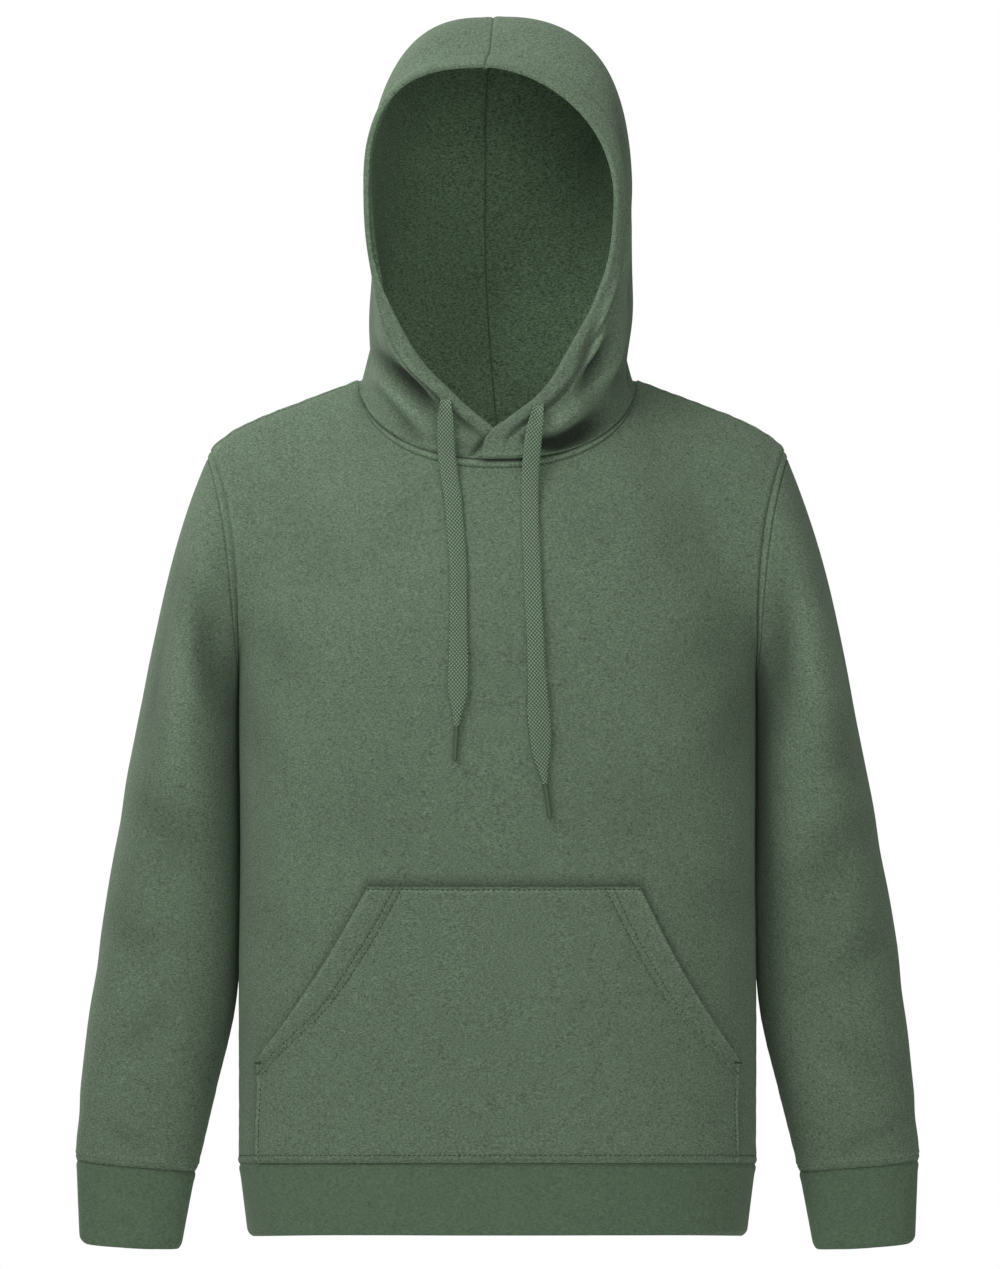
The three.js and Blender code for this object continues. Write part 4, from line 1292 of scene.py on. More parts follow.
@dataclass
class Sleeve:
    """A set-in sleeve with its cuff.

    Attributes:
        side: Which arm.
        creases: Its folds.
        cut: Flat width and length of the sleeve, in metres; not used.
        area: Its flat area, in square metres; not used.
        cuff_cut: Flat width and length of the cuff, in metres; not used.
        columns: Steps round the arm.
        cap_rows: Steps down the sleeve's head.
        arm_rows: Steps down the rest.
        cuff_rows: Steps down the cuff.
    """

    side: Side
    creases: tuple[Crease, ...]
    cut: tuple[float, float] = (0.50, 0.62)
    area: float = 0.22
    cuff_cut: tuple[float, float] = (0.24, 0.07)
    columns: int = 132
    cap_rows: int = 70
    arm_rows: int = 76
    cuff_rows: int = 26

    def turns(self) -> Array:
        """Turns round the arm, from the seam under it, where they are closer together, and back to it."""
        return math.pi + 2 * math.pi * graded(self.columns + 1, 0.7)

    def sleeve(self) -> Surface:
        """The sleeve's bare surface."""
        hand = self.side.value
        cap = graded(2 * self.cap_rows + 1)[: self.cap_rows + 1] * 2
        arm = 1 - graded(2 * self.arm_rows + 1)[: self.arm_rows][::-1] * 2
        share, turn = np.meshgrid(cap, self.turns(), indexing="ij")
        head = sleeve_cap(hand, turn, share)
        share, turn = np.meshgrid(arm, self.turns(), indexing="ij")
        surface = Surface.of(np.concatenate([head, sleeve_arm(hand, turn, share)]), False, float(hand))
        surface.lead(Edge.FIRST, armhole_normal(hand, self.turns()))
        surface.lead(Edge.LAST, unit(surface.normals[-1] * np.array([1.0, 1.0, 0.0])))
        self.close(surface)
        return surface

    @staticmethod
    def close(surface: Surface) -> None:
        """Gives both sides of the long seam the directions they share."""
        shared = unit(surface.normals[:, 0] + surface.normals[:, -1])
        surface.lead(Edge.LEFT, shared, 6.0)
        surface.lead(Edge.RIGHT, shared, 6.0)

    def dress_sleeve(self) -> None:
        """Makes the sleeve with its folds, seams and stitches."""
        surface = self.sleeve()
        label = f"sleeve_{self.side.label}"
        ends = np.minimum(surface.distance(Edge.FIRST), surface.distance(Edge.LAST))
        height = sway(surface.points, 0.9, 0.7 * self.side.value)
        height = height + sum(crease.relief(surface.points, surface.normals) for crease in self.creases)
        height = height * smooth(0, 16, ends)
        # Painted shade and highlight of the sleeve's folds; those of its seams are added where the piece is made.
        fold = SLEEVE_FOLD_SHADE * height
        arm = Seam(dip=0.5, puff=0.5, reach=4.0, rows=(7.0,), bite=1.0, pucker=0.2)
        sewing = arm.relief(surface.distance(Edge.FIRST), surface.run(Edge.FIRST), 0.9)
        sewing = sewing + Seam(dip=0.8, puff=0.6, reach=6.0, rows=(5.0,), bite=0.6, pucker=0.2).relief(
            surface.distance(Edge.LAST), surface.run(Edge.LAST), 2.0)
        height = height + sewing
        for edge in (Edge.LEFT, Edge.RIGHT):
            height = height + Seam(dip=0.7, puff=0.3, pucker=0.1).relief(
                surface.distance(edge), surface.run(edge), 1)
        surface.raised(height)
        piece = add_cloth(label, surface, CLOTH, FLEECE, FLEECE_INSIDE, fold=fold + SEAM_SHADE * sewing)
        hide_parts(label)
        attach(piece, "root")
        Stitching(2.7, 0.9, 0.6, SHADE).sew(f"stitches_{label}", [surface.line(Edge.FIRST, 7.0)])

    def dress_cuff(self) -> None:
        """Makes the cuff, doubled rib with a round folded edge."""
        share, turn = np.meshgrid(graded(self.cuff_rows + 1), self.turns(), indexing="ij")
        bare = drawn_in(cuff_ring(self.side.value, turn, share), share, 66.0, 8.0)
        surface = Surface.of(bare, False, float(self.side.value))
        surface.lead(Edge.FIRST, unit(surface.normals[0] * np.array([1.0, 1.0, 0.0])))
        self.close(surface)
        height = sway(surface.points, 0.5, 1.9) * smooth(0, 10, surface.along)
        height = height + Seam(dip=0.9, puff=0.4, reach=4.0, pucker=0.2).relief(
            surface.along, surface.across, 2.0)
        surface.raised(height)
        label = f"cuff_{self.side.label}"
        piece = add_cloth(label, surface, RIB, RIB_KNIT, RIB_INSIDE, (Edge.LAST,))
        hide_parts(label)
        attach(piece, "root")


@dataclass
class Waistband:
    """The doubled rib band round the hem.

    Attributes:
        columns: Steps round it.
        rows: Steps down it.
        cut: Flat width and length, in metres; not used.
    """

    columns: int = 420
    rows: int = 26
    cut: tuple[float, float] = (1.10, 0.06)

    def dress(self) -> None:
        """Makes the band, drawn in a little under its seam, with a round folded edge."""
        share, turn = np.meshgrid(graded(self.rows + 1), np.linspace(0, 2 * math.pi, self.columns + 1),
                                  indexing="ij")
        surface = Surface.of(drawn_in(band_ring(turn, share), share, 59.0, 7.0), False, -1.0)
        surface.lead(Edge.FIRST, unit(surface.normals[0] * np.array([1.0, 1.0, 0.0])))
        Sleeve.close(surface)
        height = sway(surface.points, 0.5, 2.9) * smooth(0, 12, surface.along)
        height = height + Seam(dip=0.8, puff=0.4, reach=4.0, pucker=0.2).relief(
            surface.along, surface.across, 0.4)
        surface.raised(height)
        piece = add_cloth("waistband", surface, RIB, RIB_KNIT, RIB_INSIDE, (Edge.LAST,))
        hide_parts("waistband")
        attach(piece, "root")


@dataclass
class Hood:
    """One half of the hood, with the folded hem of the face opening.

    Attributes:
        side: Which half.
        creases: Its folds.
        cut: Flat width and length, in metres; not used.
        area: Flat area, in square metres; not used.
        hem: Width of the folded hem at the neck and at the top, in mm.
        ply: How far the hem's second layer lifts it.
        columns: Steps up from the neck seam to the centre seam.
        rows: Steps from the face opening to the back neck.
    """

    side: Side
    creases: tuple[Crease, ...]
    cut: tuple[float, float] = (0.36, 0.42)
    area: float = 0.11
    hem: tuple[float, float] = (18.0, 22.0)
    ply: float = 1.0
    columns: int = 150
    rows: int = 140

    def lap(self, points: Array) -> Array:
        """How far the left half is lifted where it laps over the right one at the centre front."""
        if self.side is Side.RIGHT:
            return np.zeros(points.shape[:-1])
        low = 1 - smooth(-30, 8, points[..., 2])
        return 4.8 * low * (1 - smooth(28, 75, points[..., 0])) * (points[..., 1] < 0)

    def build(self) -> Surface:
        """Makes the half with its hem, seams, folds and stitches."""
        along, up = np.meshgrid(graded(self.rows + 1), graded(self.columns + 1), indexing="ij")
        surface = Surface.of(hood_point(self.side, along, up), False, -float(self.side.value))
        surface.lead(Edge.LEFT, neck_normal(surface.points[:, 0]))
        surface.lead(Edge.RIGHT, unit(surface.normals[:, -1] * np.array([0.0, 1.0, 1.0])))
        surface.lead(Edge.LAST, neck_normal(surface.points[-1]), 5.0)
        opening, centre = surface.distance(Edge.FIRST), surface.distance(Edge.RIGHT)
        neck = np.minimum(surface.distance(Edge.LEFT), surface.distance(Edge.LAST))
        ends = np.minimum(neck, centre)
        height = sway(surface.points, 0.9, 2.0 + self.side.value)
        height = height + sum(crease.relief(surface.points, surface.normals) for crease in self.creases)
        hem = blend(self.hem[0], self.hem[1], smooth(0.45, 0.95, up))
        height = height * smooth(0, 3.5, ends) * smooth(0.2, 1.4, opening / hem)
        # Painted shade and highlight of the hood's folds.
        fold = height
        in_hem = 1 - smooth(-1.0, 1.0, opening - hem)
        roll = np.sqrt(np.clip(np.sin(math.pi * np.clip(opening / hem, 0, 1)), 0, 1))
        clear = smooth(9, 34, neck)
        height = height + (self.ply * in_hem + 1.6 * roll) * clear
        height = height - blend(4.2, 0.8, smooth(0.3, 0.62, up)) * bell(opening - hem - 1.0, 2.8) * clear
        height = height + Seam(dip=0.8, puff=1.3, reach=3.2, pucker=0.2).relief(
            neck, surface.run(Edge.LEFT), 1.4)
        height = height - 1.2 * bell(centre, 0.9) + 0.35 * bell(centre - 4.5, 3.0)
        surface.raised(height + self.lap(surface.points))
        thick = CLOTH + 2.4 * in_hem * smooth(4.0, 14.0, neck)
        label = f"hood_{self.side.label}"
        piece = add_cloth(label, surface, thick, FLEECE, FLEECE_INSIDE, (Edge.FIRST,), fold)
        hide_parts(label)
        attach(piece, "root")
        Stitching().sew(f"stitches_{label}", [surface.line(Edge.FIRST, hem[0] - 1.2)])
        if self.side is Side.LEFT:
            points, normals = surface.line(Edge.RIGHT, 0.0)
            inside = Stitching(5.4, -1.5, 0.7, THREAD)
            inside.sew("seam_hood_inside", [(points[6:] - normals[6:] * (CLOTH + 0.1), -normals[6:])])
        return surface


@dataclass
class Pocket:
    """The kangaroo pocket: a patch on the front panel with a slanting hand opening at each side.

    Attributes:
        top_z: Height of its top edge, in mm.
        top_half: Half width there.
        centre: How far its top lies off the centre line.
        low_z: Height of the openings' lower ends.
        side: Half width below them.
        bow: How far the openings' edges curve in.
        hem: Width of the openings' hems.
        gap: Space behind it.
        cut: Flat width and length, in metres; not used.
        area: Flat area, in square metres; not used.
    """

    top_z: float = -407.0
    top_half: float = 108.0
    centre: float = 5.0
    low_z: float = -551.0
    side: float = 192.0
    bow: float = 9.0
    hem: float = 23.5
    gap: float = 1.0
    cut: tuple[float, float] = (0.45, 0.23)
    area: float = 0.085

    def reach(self, hand: int, z: Array) -> Array:
        """How far to a side the patch goes at a height: straight below, then a curve in to the top."""
        share = np.clip((z - self.low_z) / (self.top_z - self.low_z), 0, 1)
        middle = hand * (self.side + self.top_half) / 2 + self.centre / 2 - hand * self.bow
        start, end = hand * self.side, self.centre + hand * self.top_half
        return (1 - share) ** 2 * start + 2 * share * (1 - share) * middle + share ** 2 * end

    def mark(self, points: Array) -> Array:
        """How deep in the pocket's painted shadow a point of the front panel lies: 1 at its edge, fading outside it."""
        x, z = points[..., 0], points[..., 2]
        hand = np.where(x > self.centre, 1, -1)
        aside = (hand * x - hand * self.reach(hand, z)) * 0.75
        above = z - self.top_z
        side_share = blend(0.35, 1.0, smooth(-8, 4, z - self.low_z))
        return bell(np.maximum(np.maximum(aside, above), 0), 2.4) * (np.maximum(aside, above) > -6) * side_share

    def build(self, body: Body) -> None:
        """Makes the patch on the front panel's own form, folds included."""
        low = graded(63)[:32] * 2
        base = HEM_Z + 0.4
        z = np.concatenate([blend(base, self.low_z, low[:-1]), blend(self.low_z, self.top_z, 1 - low[::-1])])
        z, share = np.meshgrid(z, graded(151, 0.88), indexing="ij")
        x = blend(self.reach(-1, z), self.reach(1, z), share)
        half = TORSO.at("half", z)
        turn = np.arccos(np.clip(-np.sign(x) * (np.abs(x) / half) ** (TORSO_POWER / 2), -1, 1))
        surface = Surface.of(torso_section(z, turn, Facing.FRONT), False, 1.0)
        height = body.hang(surface, Facing.FRONT) * smooth(0, 14, surface.along)
        left, right = surface.distance(Edge.LEFT), surface.distance(Edge.RIGHT)
        open_share = smooth(self.low_z - 4, self.low_z + 6, z)
        width = blend(13.0, self.hem, smooth(0, 55, z - self.low_z)) * smooth(-13, -1, z - self.low_z)
        hem = (1 - smooth(-1, 1.5, np.minimum(left, right) - width)) * open_share
        top = surface.distance(Edge.LAST)
        height = height + CLOTH + self.gap + 1.3 * hem
        height = height + 2.6 * open_share * bell(np.minimum(left, right), 16) * smooth(0, 30, top)
        for distance in (left, right):
            groove = bell(distance - width + 1.5, 1.2) + bell(distance - width - 4.5, 1.2)
            height = height - 1.5 * groove * open_share - 1.2 * bell(distance - 4.0, 1.1) * (1 - open_share)
        height = height - 1.1 * bell(top - 2.6, 1.0) * smooth(0, 2, top)
        height = height + Seam(dip=2.2, puff=0.5, rows=(6.5,)).relief(surface.along, surface.across, 0.4)
        surface.raised(height)
        edges = (Edge.LAST, Edge.LEFT, Edge.RIGHT)
        rim = np.minimum(np.minimum(left, right), top)
        # Painted highlight just inside the pocket's edges and painted shade right at them.
        fold = 2.2 * bell(rim - 3.0, 1.6) - 6 * bell(rim, 0.8)
        piece = add_cloth("pocket", surface, CLOTH, FLEECE, FLEECE_INSIDE, edges, fold)
        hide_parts("pocket")
        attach(piece, "root")
        lines = [surface.line(Edge.LAST, 2.6), surface.line(Edge.FIRST, 6.5)]
        tacks: list[tuple[Array, Array]] = []
        for edge in (Edge.LEFT, Edge.RIGHT):
            for shift in (-1.5, 4.5):
                rows = z[:, 0] > self.low_z - 13
                points, normals = surface.line(edge, np.maximum(width[:, 0] + shift, 0.8))
                lines.append((points[rows], normals[rows]))
            rows = z[:, 0] < self.low_z - 16
            points, normals = surface.line(edge, 4.0)
            lines.append((points[rows], normals[rows]))
            corner = int(np.argmin(np.abs(z[:, 0] - self.low_z)))
            tacks.append(tuple(np.stack([surface.line(edge, gap)[part][corner] for gap in np.linspace(0.8, 9, 6)])
                               for part in (0, 1)))
        Stitching(2.6, 1.4, 0.8, SHADE).sew("stitches_pocket", lines)
        Stitching(1.5, -0.5, 1.5, SHADE).sew("tacks_pocket", tacks)


@dataclass
class Cord:
    """One free end of the flat drawcord, from its slot in the hood's hem down to its hard tip.

    Attributes:
        side: Which end.
        route: Its middle line, in mm.
        bulge: Place down the cord where it lies widest, and how much wider it is there.
        width: Width of the cord, in mm.
        thick: Its thickness.
        taper: Length over which it is drawn in to its tip.
        tip: Width at its tip.
        tip_length: Length of the hard tip.
        tip_radius: Its radius.
    """

    side: Side
    route: tuple[tuple[float, float, float], ...]
    bulge: tuple[float, float]
    width: float = 14.0
    thick: float = 3.0
    taper: float = 30.0
    tip: float = 4.6
    tip_length: float = 27.0
    tip_radius: float = 2.0

    def line(self, count: int) -> tuple[Array, Array]:
        """Points at even distances along the route's smooth curve, and how far along each lies, in mm."""
        route = np.array(self.route)
        run = np.concatenate([[0], np.cumsum(np.linalg.norm(np.diff(route, axis=0), axis=1))])
        slope = np.gradient(route, run, axis=0)
        fine = np.linspace(0, run[-1], 2000)
        row = np.clip(np.searchsorted(run, fine, side="right") - 1, 0, len(run) - 2)
        span = (run[row + 1] - run[row])[:, None]
        share = (fine - run[row])[:, None] / span
        curve = hermite(route[row], slope[row] * span, route[row + 1], slope[row + 1] * span, share)
        length = np.concatenate([[0], np.cumsum(np.linalg.norm(np.diff(curve, axis=0), axis=1))])
        even = np.linspace(0, length[-1], count)
        return np.stack([np.interp(even, length, curve[:, axis]) for axis in range(3)], axis=-1), even

    def build(self) -> None:
        """Makes the braid and its tip.

        The section is a flat oval whose width eases in at both ends, cupped at the slot, and the braid's own
        crossings stand up on it as small diamonds.
        """
        rows, sides = 340, 28
        centre, run = self.line(rows)
        length = run[-1]
        ahead = unit(np.gradient(centre, axis=0))
        aside = unit(np.array([1.0, 0.0, 0.0]) - ahead * ahead[:, :1])
        lean = 0.1 * np.sin(run / 47.0 + self.side.value) * smooth(10, 60, run)
        out = np.cross(aside, ahead)
        aside, out = (unit(aside * np.cos(lean)[:, None] + out * np.sin(lean)[:, None]),
                      unit(out * np.cos(lean)[:, None] - aside * np.sin(lean)[:, None]))
        place, extra = self.bulge
        half = self.width / 2 + extra / 2 * bell(run - place, 26) - 3.0 * bell(run - 6, 15)
        half = blend(self.tip / 2, half, smooth(-2, self.taper, length - run))
        turn = np.arange(sides) * 2 * math.pi / sides
        flat = power(np.cos(turn), 0.62)
        round_side = power(np.sin(turn), 0.9)
        across = half[:, None] * flat[None]
        depth = blend(self.tip * 0.42, self.thick / 2, smooth(0, self.taper, length - run))
        depth = depth[:, None] * round_side
        cup = 2.6 * bell(run - 6, 18)[:, None] * (0.45 - flat[None] ** 2)
        cell, tall = CORD_BRAID.cell, CORD_BRAID.tall
        knot = np.sqrt(np.abs(np.sin(math.pi * (across / cell + run[:, None] / tall))
                              * np.sin(math.pi * (across / cell - run[:, None] / tall))))
        depth = depth + np.sign(round_side) * 0.3 * knot + cup
        points = (centre[:, None] + aside[:, None] * across[..., None] + out[:, None] * depth[..., None])
        girth = np.concatenate([across, across[:, :1]], axis=1) * MM
        height = np.broadcast_to(run[:, None], girth.shape) * MM
        uv = np.stack([girth, height], axis=-1)
        quads = grid_quads(rows, sides, True)
        uvs = np.stack([uv[:-1, :-1], uv[:-1, 1:], uv[1:, 1:], uv[1:, :-1]], axis=2).reshape(-1, 4, 2)
        label = f"drawcord_{self.side.label}"
        fan = np.arange(1, sides // 2)
        caps = np.stack([fan - 1, fan, sides - 1 - fan, sides - fan], axis=-1)[1:]
        caps = np.concatenate([caps, (caps + (rows - 1) * sides)[:, ::-1]])
        quads = np.concatenate([quads, caps])
        uvs = np.concatenate([uvs, np.zeros((len(caps), 4, 2))])
        piece = add_mesh(label, points.reshape(-1, 3), quads[:, ::-1], uvs[:, ::-1])
        piece.data.materials.append(CORD_BRAID.material())
        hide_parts(label)
        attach(piece, "root")
        tip = self.build_tip(centre[-1], ahead[-1])
        path = self.line(30)[0] * MM
        log.info("%s: %.1f mm long", label, length)

    def build_tip(self, start: Array, ahead: Array) -> bpy.types.Object:
        """The hard tip: a tube crimped a little at two places, rounded at its end."""
        rows, sides = 44, 20
        share = graded(rows, 0.9)[:, None]
        run = share * self.tip_length
        radius = self.tip_radius * np.sqrt(np.clip(1 - (np.clip(share - 0.96, 0, 1) / 0.045) ** 2, 0.02, 1))
        radius = radius * (1 - 0.1 * bell(run - 4.5, 0.8) - 0.1 * bell(run - 19, 0.8))
        radius = radius * (0.5 + 0.5 * smooth(-0.2, 0.5, run))
        aside = unit(np.array([1.0, 0.0, 0.0]) - ahead * ahead[0])
        out = np.cross(aside, ahead)
        turn = np.arange(sides) * 2 * math.pi / sides
        rings = (start + ahead * (run + 0.2)[..., None] + radius[..., None]
                 * (aside * np.cos(turn)[None, :, None] + out * np.sin(turn)[None, :, None]))
        label = f"aglet_{self.side.label}"
        fan = np.arange(1, sides // 2)
        caps = np.stack([fan - 1, fan, sides - 1 - fan, sides - fan], axis=-1)[1:]
        quads = np.concatenate([grid_quads(rows, sides, True), caps, (caps + (rows - 1) * sides)[:, ::-1]])
        piece = add_mesh(label, rings.reshape(-1, 3), quads[:, ::-1])
        piece.data.materials.append(TIP.material())
        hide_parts(label)
        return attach(piece, "root")


CORD_LEFT = Cord(
    Side.LEFT,
    (
        (33, -92, -21), (32.5, -102.5, -26), (30.5, -104.5, -37.5), (28.5, -105, -50),
        (27.5, -105, -61.5), (26.5, -105, -73.5),
        (26, -106.5, -91), (26, -110, -108.5), (26.5, -114, -126), (27.5, -117.5, -143.5), (28, -120.5, -161),
        (28.5, -123.5, -178.5), (29.5, -126, -196), (30.5, -128, -214), (31, -129.5, -231.5),
        (32, -130.5, -249),
        (32.5, -131, -266.5), (34, -131.5, -284), (35.5, -131.5, -307), (38, -131.5, -324.5),
    ),
    (262.0, 4.0),
)
CORD_RIGHT = Cord(
    Side.RIGHT,
    (
        (-41.5, -87, -16), (-41.5, -97.5, -21), (-41.5, -99, -35), (-41, -99, -50),
        (-40.5, -99, -61.5), (-39, -100.5, -73.5),
        (-37.5, -103, -84.5), (-35.5, -106, -96.5), (-34.5, -109, -108.5), (-33.5, -112, -120.5),
        (-32, -116, -138), (-31, -119.5, -155.5), (-31, -122.5, -173), (-31, -125.5, -190.5),
        (-31, -127.5, -208), (-31, -129, -225.5), (-31.5, -130, -242.5), (-31.5, -130.5, -260),
        (-32.5, -131, -279),
    ),
    (236.0, 2.5),
)

SLEEVE_LEFT = Sleeve(
    Side.LEFT,
    (
        Crease((255, -172), (267, -300), 18, 3.5, 4),
        Crease((226, -150), (219, -290), 14, -5.0, 3),
        Crease((306, -345), (246, -420), 18, -3.0, -6),
        Crease((240, -140), (222, -270), 22, -6.0, 4, View.BACK),
        Crease((298, -380), (236, -450), 16, -4.0, 6, View.BACK),
        Crease((318, -440), (256, -486), 15, -2.0, 5),
        Crease((262, -520), (322, -560), 14, -1.6, -4),
        Crease((330, -596), (270, -622), 9, -1.6, 3),
        Crease((280, -250), (296, -330), 20, -1.8, -5),
        Crease((316, -470), (244, -520), 18, -3.0, -7, View.BACK),
        Crease((300, -260), (262, -350), 20, -2.6, 6, View.BACK),
        Crease((326, -584), (262, -612), 12, -2.2, 4, View.BACK),
        Crease((-30, -360), (60, -420), 22, -1.1, 6, View.LEFT),
        Crease((-24, -470), (44, -510), 20, -1.0, -5, View.LEFT),
        Crease((-20, -590), (26, -612), 14, -1.0, 3, View.LEFT),
        Crease((70, -200), (30, -290), 26, -1.2, 7, View.LEFT),
    ),
)
SLEEVE_RIGHT = Sleeve(
    Side.RIGHT,
    (
        Crease((-234, -84), (-262, -330), 14, 3.0, -3),
        Crease((-246, -96), (-288, -330), 14, -3.2, -4),
        Crease((-246, -151), (-218, -275), 15, -5.0, -3),
        Crease((-304, -330), (-240, -395), 18, -3.0, 6),
        Crease((-242, -150), (-224, -285), 20, -6.0, -4, View.BACK),
        Crease((-300, -350), (-238, -430), 18, -4.0, -6, View.BACK),
        Crease((-322, -420), (-262, -470), 16, -2.0, -5),
        Crease((-258, -500), (-322, -548), 15, -1.8, 4),
        Crease((-328, -598), (-272, -618), 10, -1.6, -3),
        Crease((-286, -220), (-300, -312), 20, -1.6, 5),
        Crease((-318, -486), (-246, -530), 17, -2.8, 7, View.BACK),
        Crease((-296, -240), (-258, -330), 22, -2.4, -6, View.BACK),
        Crease((-326, -590), (-266, -616), 11, -2.0, -4, View.BACK),
        Crease((-26, -340), (62, -398), 24, -1.2, 6, View.RIGHT),
        Crease((-26, -448), (50, -496), 20, -1.0, -5, View.RIGHT),
        Crease((-22, -586), (28, -614), 14, -0.9, 3, View.RIGHT),
        Crease((74, -190), (34, -276), 24, -1.2, 7, View.RIGHT),
    ),
)
HOOD_LEFT = Hood(
    Side.LEFT,
    (
        Crease((96, 232), (107, 118), 6, -3.6, 3),
        Crease((106, 150), (103, 46), 5, 2.4, 2),
        Crease((99, 92), (74, 14), 3.6, 5.0, -1),
        Crease((82, 52), (63, 4), 4.5, -6.5, 0),
        Crease((93, 34), (67, -16), 6, -9.5, 0),
        Crease((106, 62), (62, -22), 5.5, 5.0, 10),
        Crease((26, -57), (92, -24), 8, -12.0, -7),
        Crease((18, -49), (58, -53), 6, -6.0, -2),
        Crease((40, -41), (70, -24), 8, 2.6, 0),
        Crease((104, 20), (88, -18), 8, -2.6, 4),
        Crease((60, 40), (20, -14), 22, -4.0, 6, View.BACK),
        Crease((-50, 190), (-44, 60), 14, -2.4, 8, View.LEFT),
        Crease((-14, 150), (-40, 10), 16, -3.0, -8, View.LEFT),
        Crease((40, 120), (10, 10), 20, -2.6, 10, View.LEFT),
        Crease((80, 60), (96, -10), 16, -2.4, -4, View.LEFT),
        Crease((60, 200), (96, 120), 22, -1.8, 8, View.LEFT),
        Crease((10, 240), (60, 250), 22, -1.4, 6, View.LEFT),
    ),
)
HOOD_RIGHT = Hood(
    Side.RIGHT,
    (
        Crease((-99, 75), (-86, 31), 5, 3.2, 1),
        Crease((-88, 34), (-48, -18), 4.5, 3.8, 0),
        Crease((-99, 44), (-82, 17), 5, 2.6, 0),
        Crease((-102, 23), (-44, -31), 7, -10.0, -2),
        Crease((-97, 4), (-55, -54), 8, 3.4, 0),
        Crease((-94, -6), (-60, -60), 6, -4.6, 1),
        Crease((-40, -42), (-24, -54), 6, 2.0, 0),
        Crease((6, -31), (-27, -71), 2.3, -4.5, 0, shoulder=0.0),
        Crease((-106, 96), (-103, 30), 5, -1.6, 1),
        Crease((-66, 46), (-24, -8), 22, -4.0, -6, View.BACK),
        Crease((-56, 180), (-48, 56), 15, -2.2, -8, View.RIGHT),
        Crease((-10, 146), (-38, 12), 17, -3.0, 8, View.RIGHT),
        Crease((44, 128), (14, 12), 20, -2.8, -9, View.RIGHT),
        Crease((82, 64), (96, -8), 15, -2.2, 4, View.RIGHT),
        Crease((58, 196), (98, 110), 22, -2.0, -8, View.RIGHT),
    ),
)


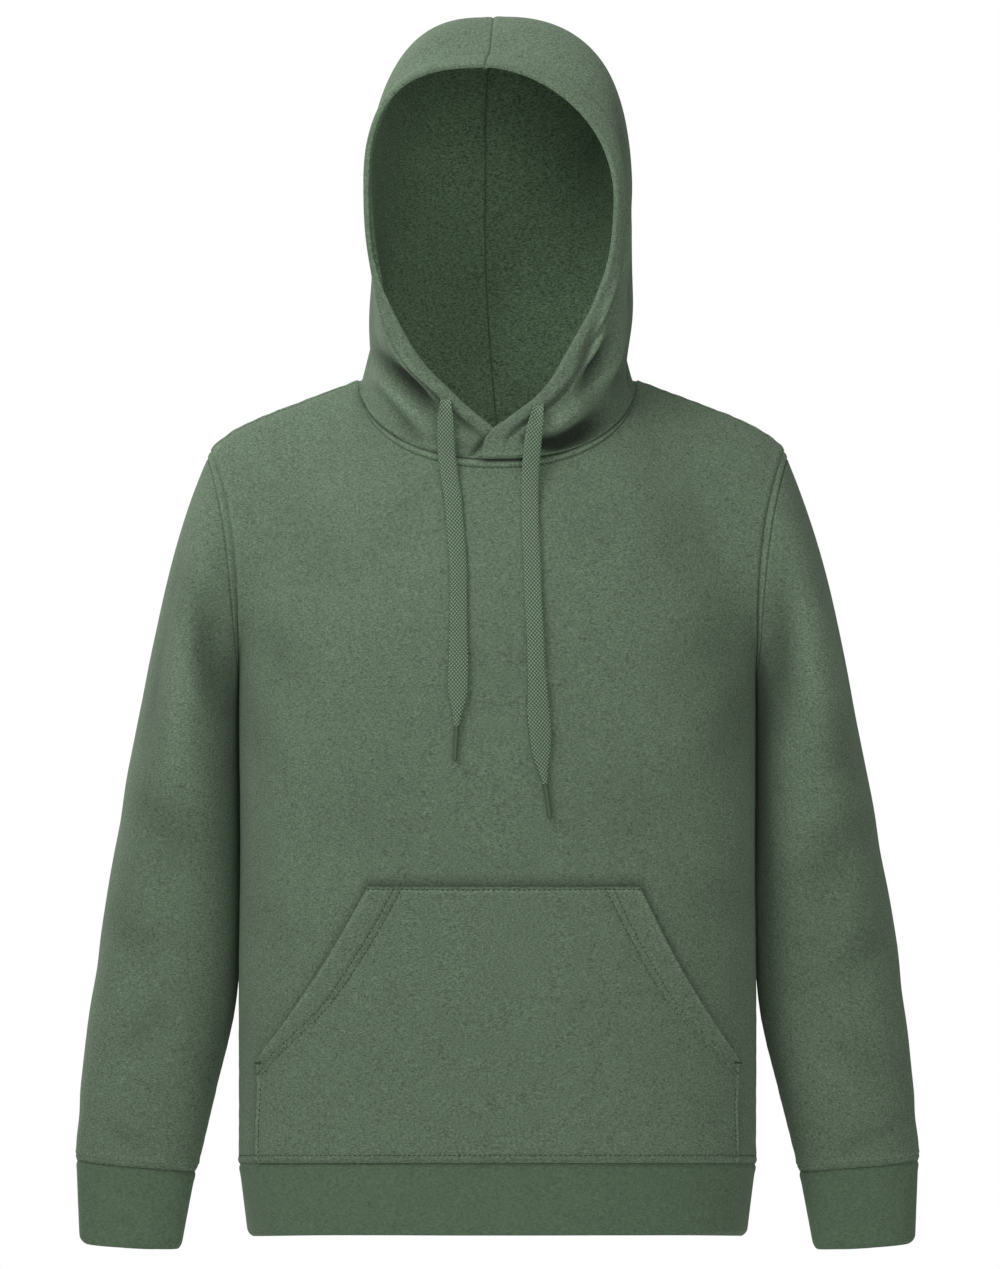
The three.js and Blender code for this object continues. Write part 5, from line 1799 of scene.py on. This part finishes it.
@dataclass
class Studio:
    """The camera, the lights and the floor.

    Attributes:
        size: Height of the picture at the garment's middle, in metres.
        centre: Where its middle lies, across and up.
        distance: From the camera to the garment.
        floor: Height of the floor.
        glow: The floor's own light, which keeps it as pale as the photograph's ground.
    """

    size: float = PICTURE_HEIGHT
    centre: tuple[float, float] = PICTURE_CENTRE
    distance: float = CAMERA_DISTANCE
    floor: float = -1.25
    glow: float = 0.15

    def camera(self) -> None:
        """A level camera straight in front, as far off as the photograph's flat look asks for."""
        made = bpy.data.cameras.new("camera")
        made.sensor_width = SENSOR
        made.lens = SENSOR * self.distance / self.size
        made.clip_end = 60
        place = bpy.data.objects.new("camera", made)
        place.location = (self.centre[0], -self.distance, self.centre[1])
        place.rotation_euler = (math.pi / 2, 0, 0)
        bpy.context.scene.collection.objects.link(place)
        bpy.context.scene.camera = place

    def light(self, name: str, place: tuple[float, float, float], target: tuple[float, float, float],
              size: float, watts: float) -> None:
        """A square soft light that faces a point."""
        made = bpy.data.lights.new(name, "AREA")
        made.energy = watts
        made.size = size
        lamp = bpy.data.objects.new(name, made)
        lamp.location = place
        way = np.array(target) - np.array(place)
        flat = math.hypot(way[0], way[1])
        lamp.rotation_euler = (math.atan2(flat, -way[2]), 0, math.atan2(way[1], way[0]) - math.pi / 2)
        lamp.visible_camera = False
        bpy.context.scene.collection.objects.link(lamp)

    def lights(self) -> None:
        """Four soft lights: above to the viewer's left, from the front, overhead and from behind."""
        self.light("key", (-1.1, -1.25, 1.15), (0, 0, -0.1), 0.9, 19.5)
        self.light("fill", (0.3, -2.25, 0.42), (0, 0, 0.0), 1.1, 17.0)
        self.light("top", (-0.45, -0.35, 1.7), (0, 0, 0), 1.3, 17.0)
        self.light("rim", (-2.0, 2.4, 1.2), (0, 0, -0.1), 1.6, 45.0)

    def backdrop(self) -> None:
        """A plain pale floor, and a white surround that lights the scene less brightly than it looks."""
        ends = self.floor / MM
        reach = 6500.0
        corners = np.array([[-reach, -reach, ends], [reach, -reach, ends],
                            [reach, reach, ends], [-reach, reach, ends]])
        floor = add_mesh("floor", corners, np.array([[0, 1, 2, 3]]))
        pale = Finish("floor", (0.93, 0.93, 0.93), 0.8).material()
        surface = next(node for node in pale.node_tree.nodes if node.type == "BSDF_PRINCIPLED")
        surface.inputs["Emission Color"].default_value = (1.0, 1.0, 1.0, 1.0)
        surface.inputs["Emission Strength"].default_value = self.glow
        floor.data.materials.append(pale)
        world = bpy.data.worlds.new("surround")
        world.use_nodes = True
        tree = world.node_tree
        tree.nodes.clear()
        seen = tree.nodes.new("ShaderNodeBackground")
        seen.inputs[0].default_value = (1.0, 1.0, 1.0, 1.0)
        seen.inputs[1].default_value = 1.0
        lit = tree.nodes.new("ShaderNodeBackground")
        lit.inputs[0].default_value = (1.0, 1.0, 1.0, 1.0)
        lit.inputs[1].default_value = 0.2
        path = tree.nodes.new("ShaderNodeLightPath")
        mix = tree.nodes.new("ShaderNodeMixShader")
        out = tree.nodes.new("ShaderNodeOutputWorld")
        tree.links.new(path.outputs["Is Camera Ray"], mix.inputs[0])
        tree.links.new(lit.outputs[0], mix.inputs[1])
        tree.links.new(seen.outputs[0], mix.inputs[2])
        tree.links.new(mix.outputs[0], out.inputs[0])
        bpy.context.scene.world = world

    def build(self) -> None:
        """Sets the scene up."""
        self.camera()
        self.lights()
        self.backdrop()
        bpy.context.scene.view_settings.view_transform = "Standard"
        bpy.context.scene.view_settings.look = "None"


@dataclass
class Hoodie:
    """The whole garment."""

    body: Body = field(default_factory=Body)
    sleeves: tuple[Sleeve, ...] = (SLEEVE_LEFT, SLEEVE_RIGHT)
    hood: tuple[Hood, ...] = (HOOD_LEFT, HOOD_RIGHT)
    cords: tuple[Cord, ...] = (CORD_LEFT, CORD_RIGHT)
    band: Waistband = field(default_factory=Waistband)
    pocket: Pocket = field(default_factory=Pocket)

    def build(self) -> None:
        """Makes every piece."""
        for cord in self.cords:
            cord.build()
        for facing in Facing:
            self.body.build(facing)
        for sleeve in self.sleeves:
            sleeve.dress_sleeve()
            sleeve.dress_cuff()
        for half in self.hood:
            half.build()
        self.band.dress()
        self.pocket.build(self.body)


def main() -> None:
    """Builds the garment and the studio."""
    logging.basicConfig(level=logging.INFO, format="%(message)s")
    Studio().build()
    Hoodie().build()
    bpy.context.view_layer.update()


if __name__ == "__main__":
    main()
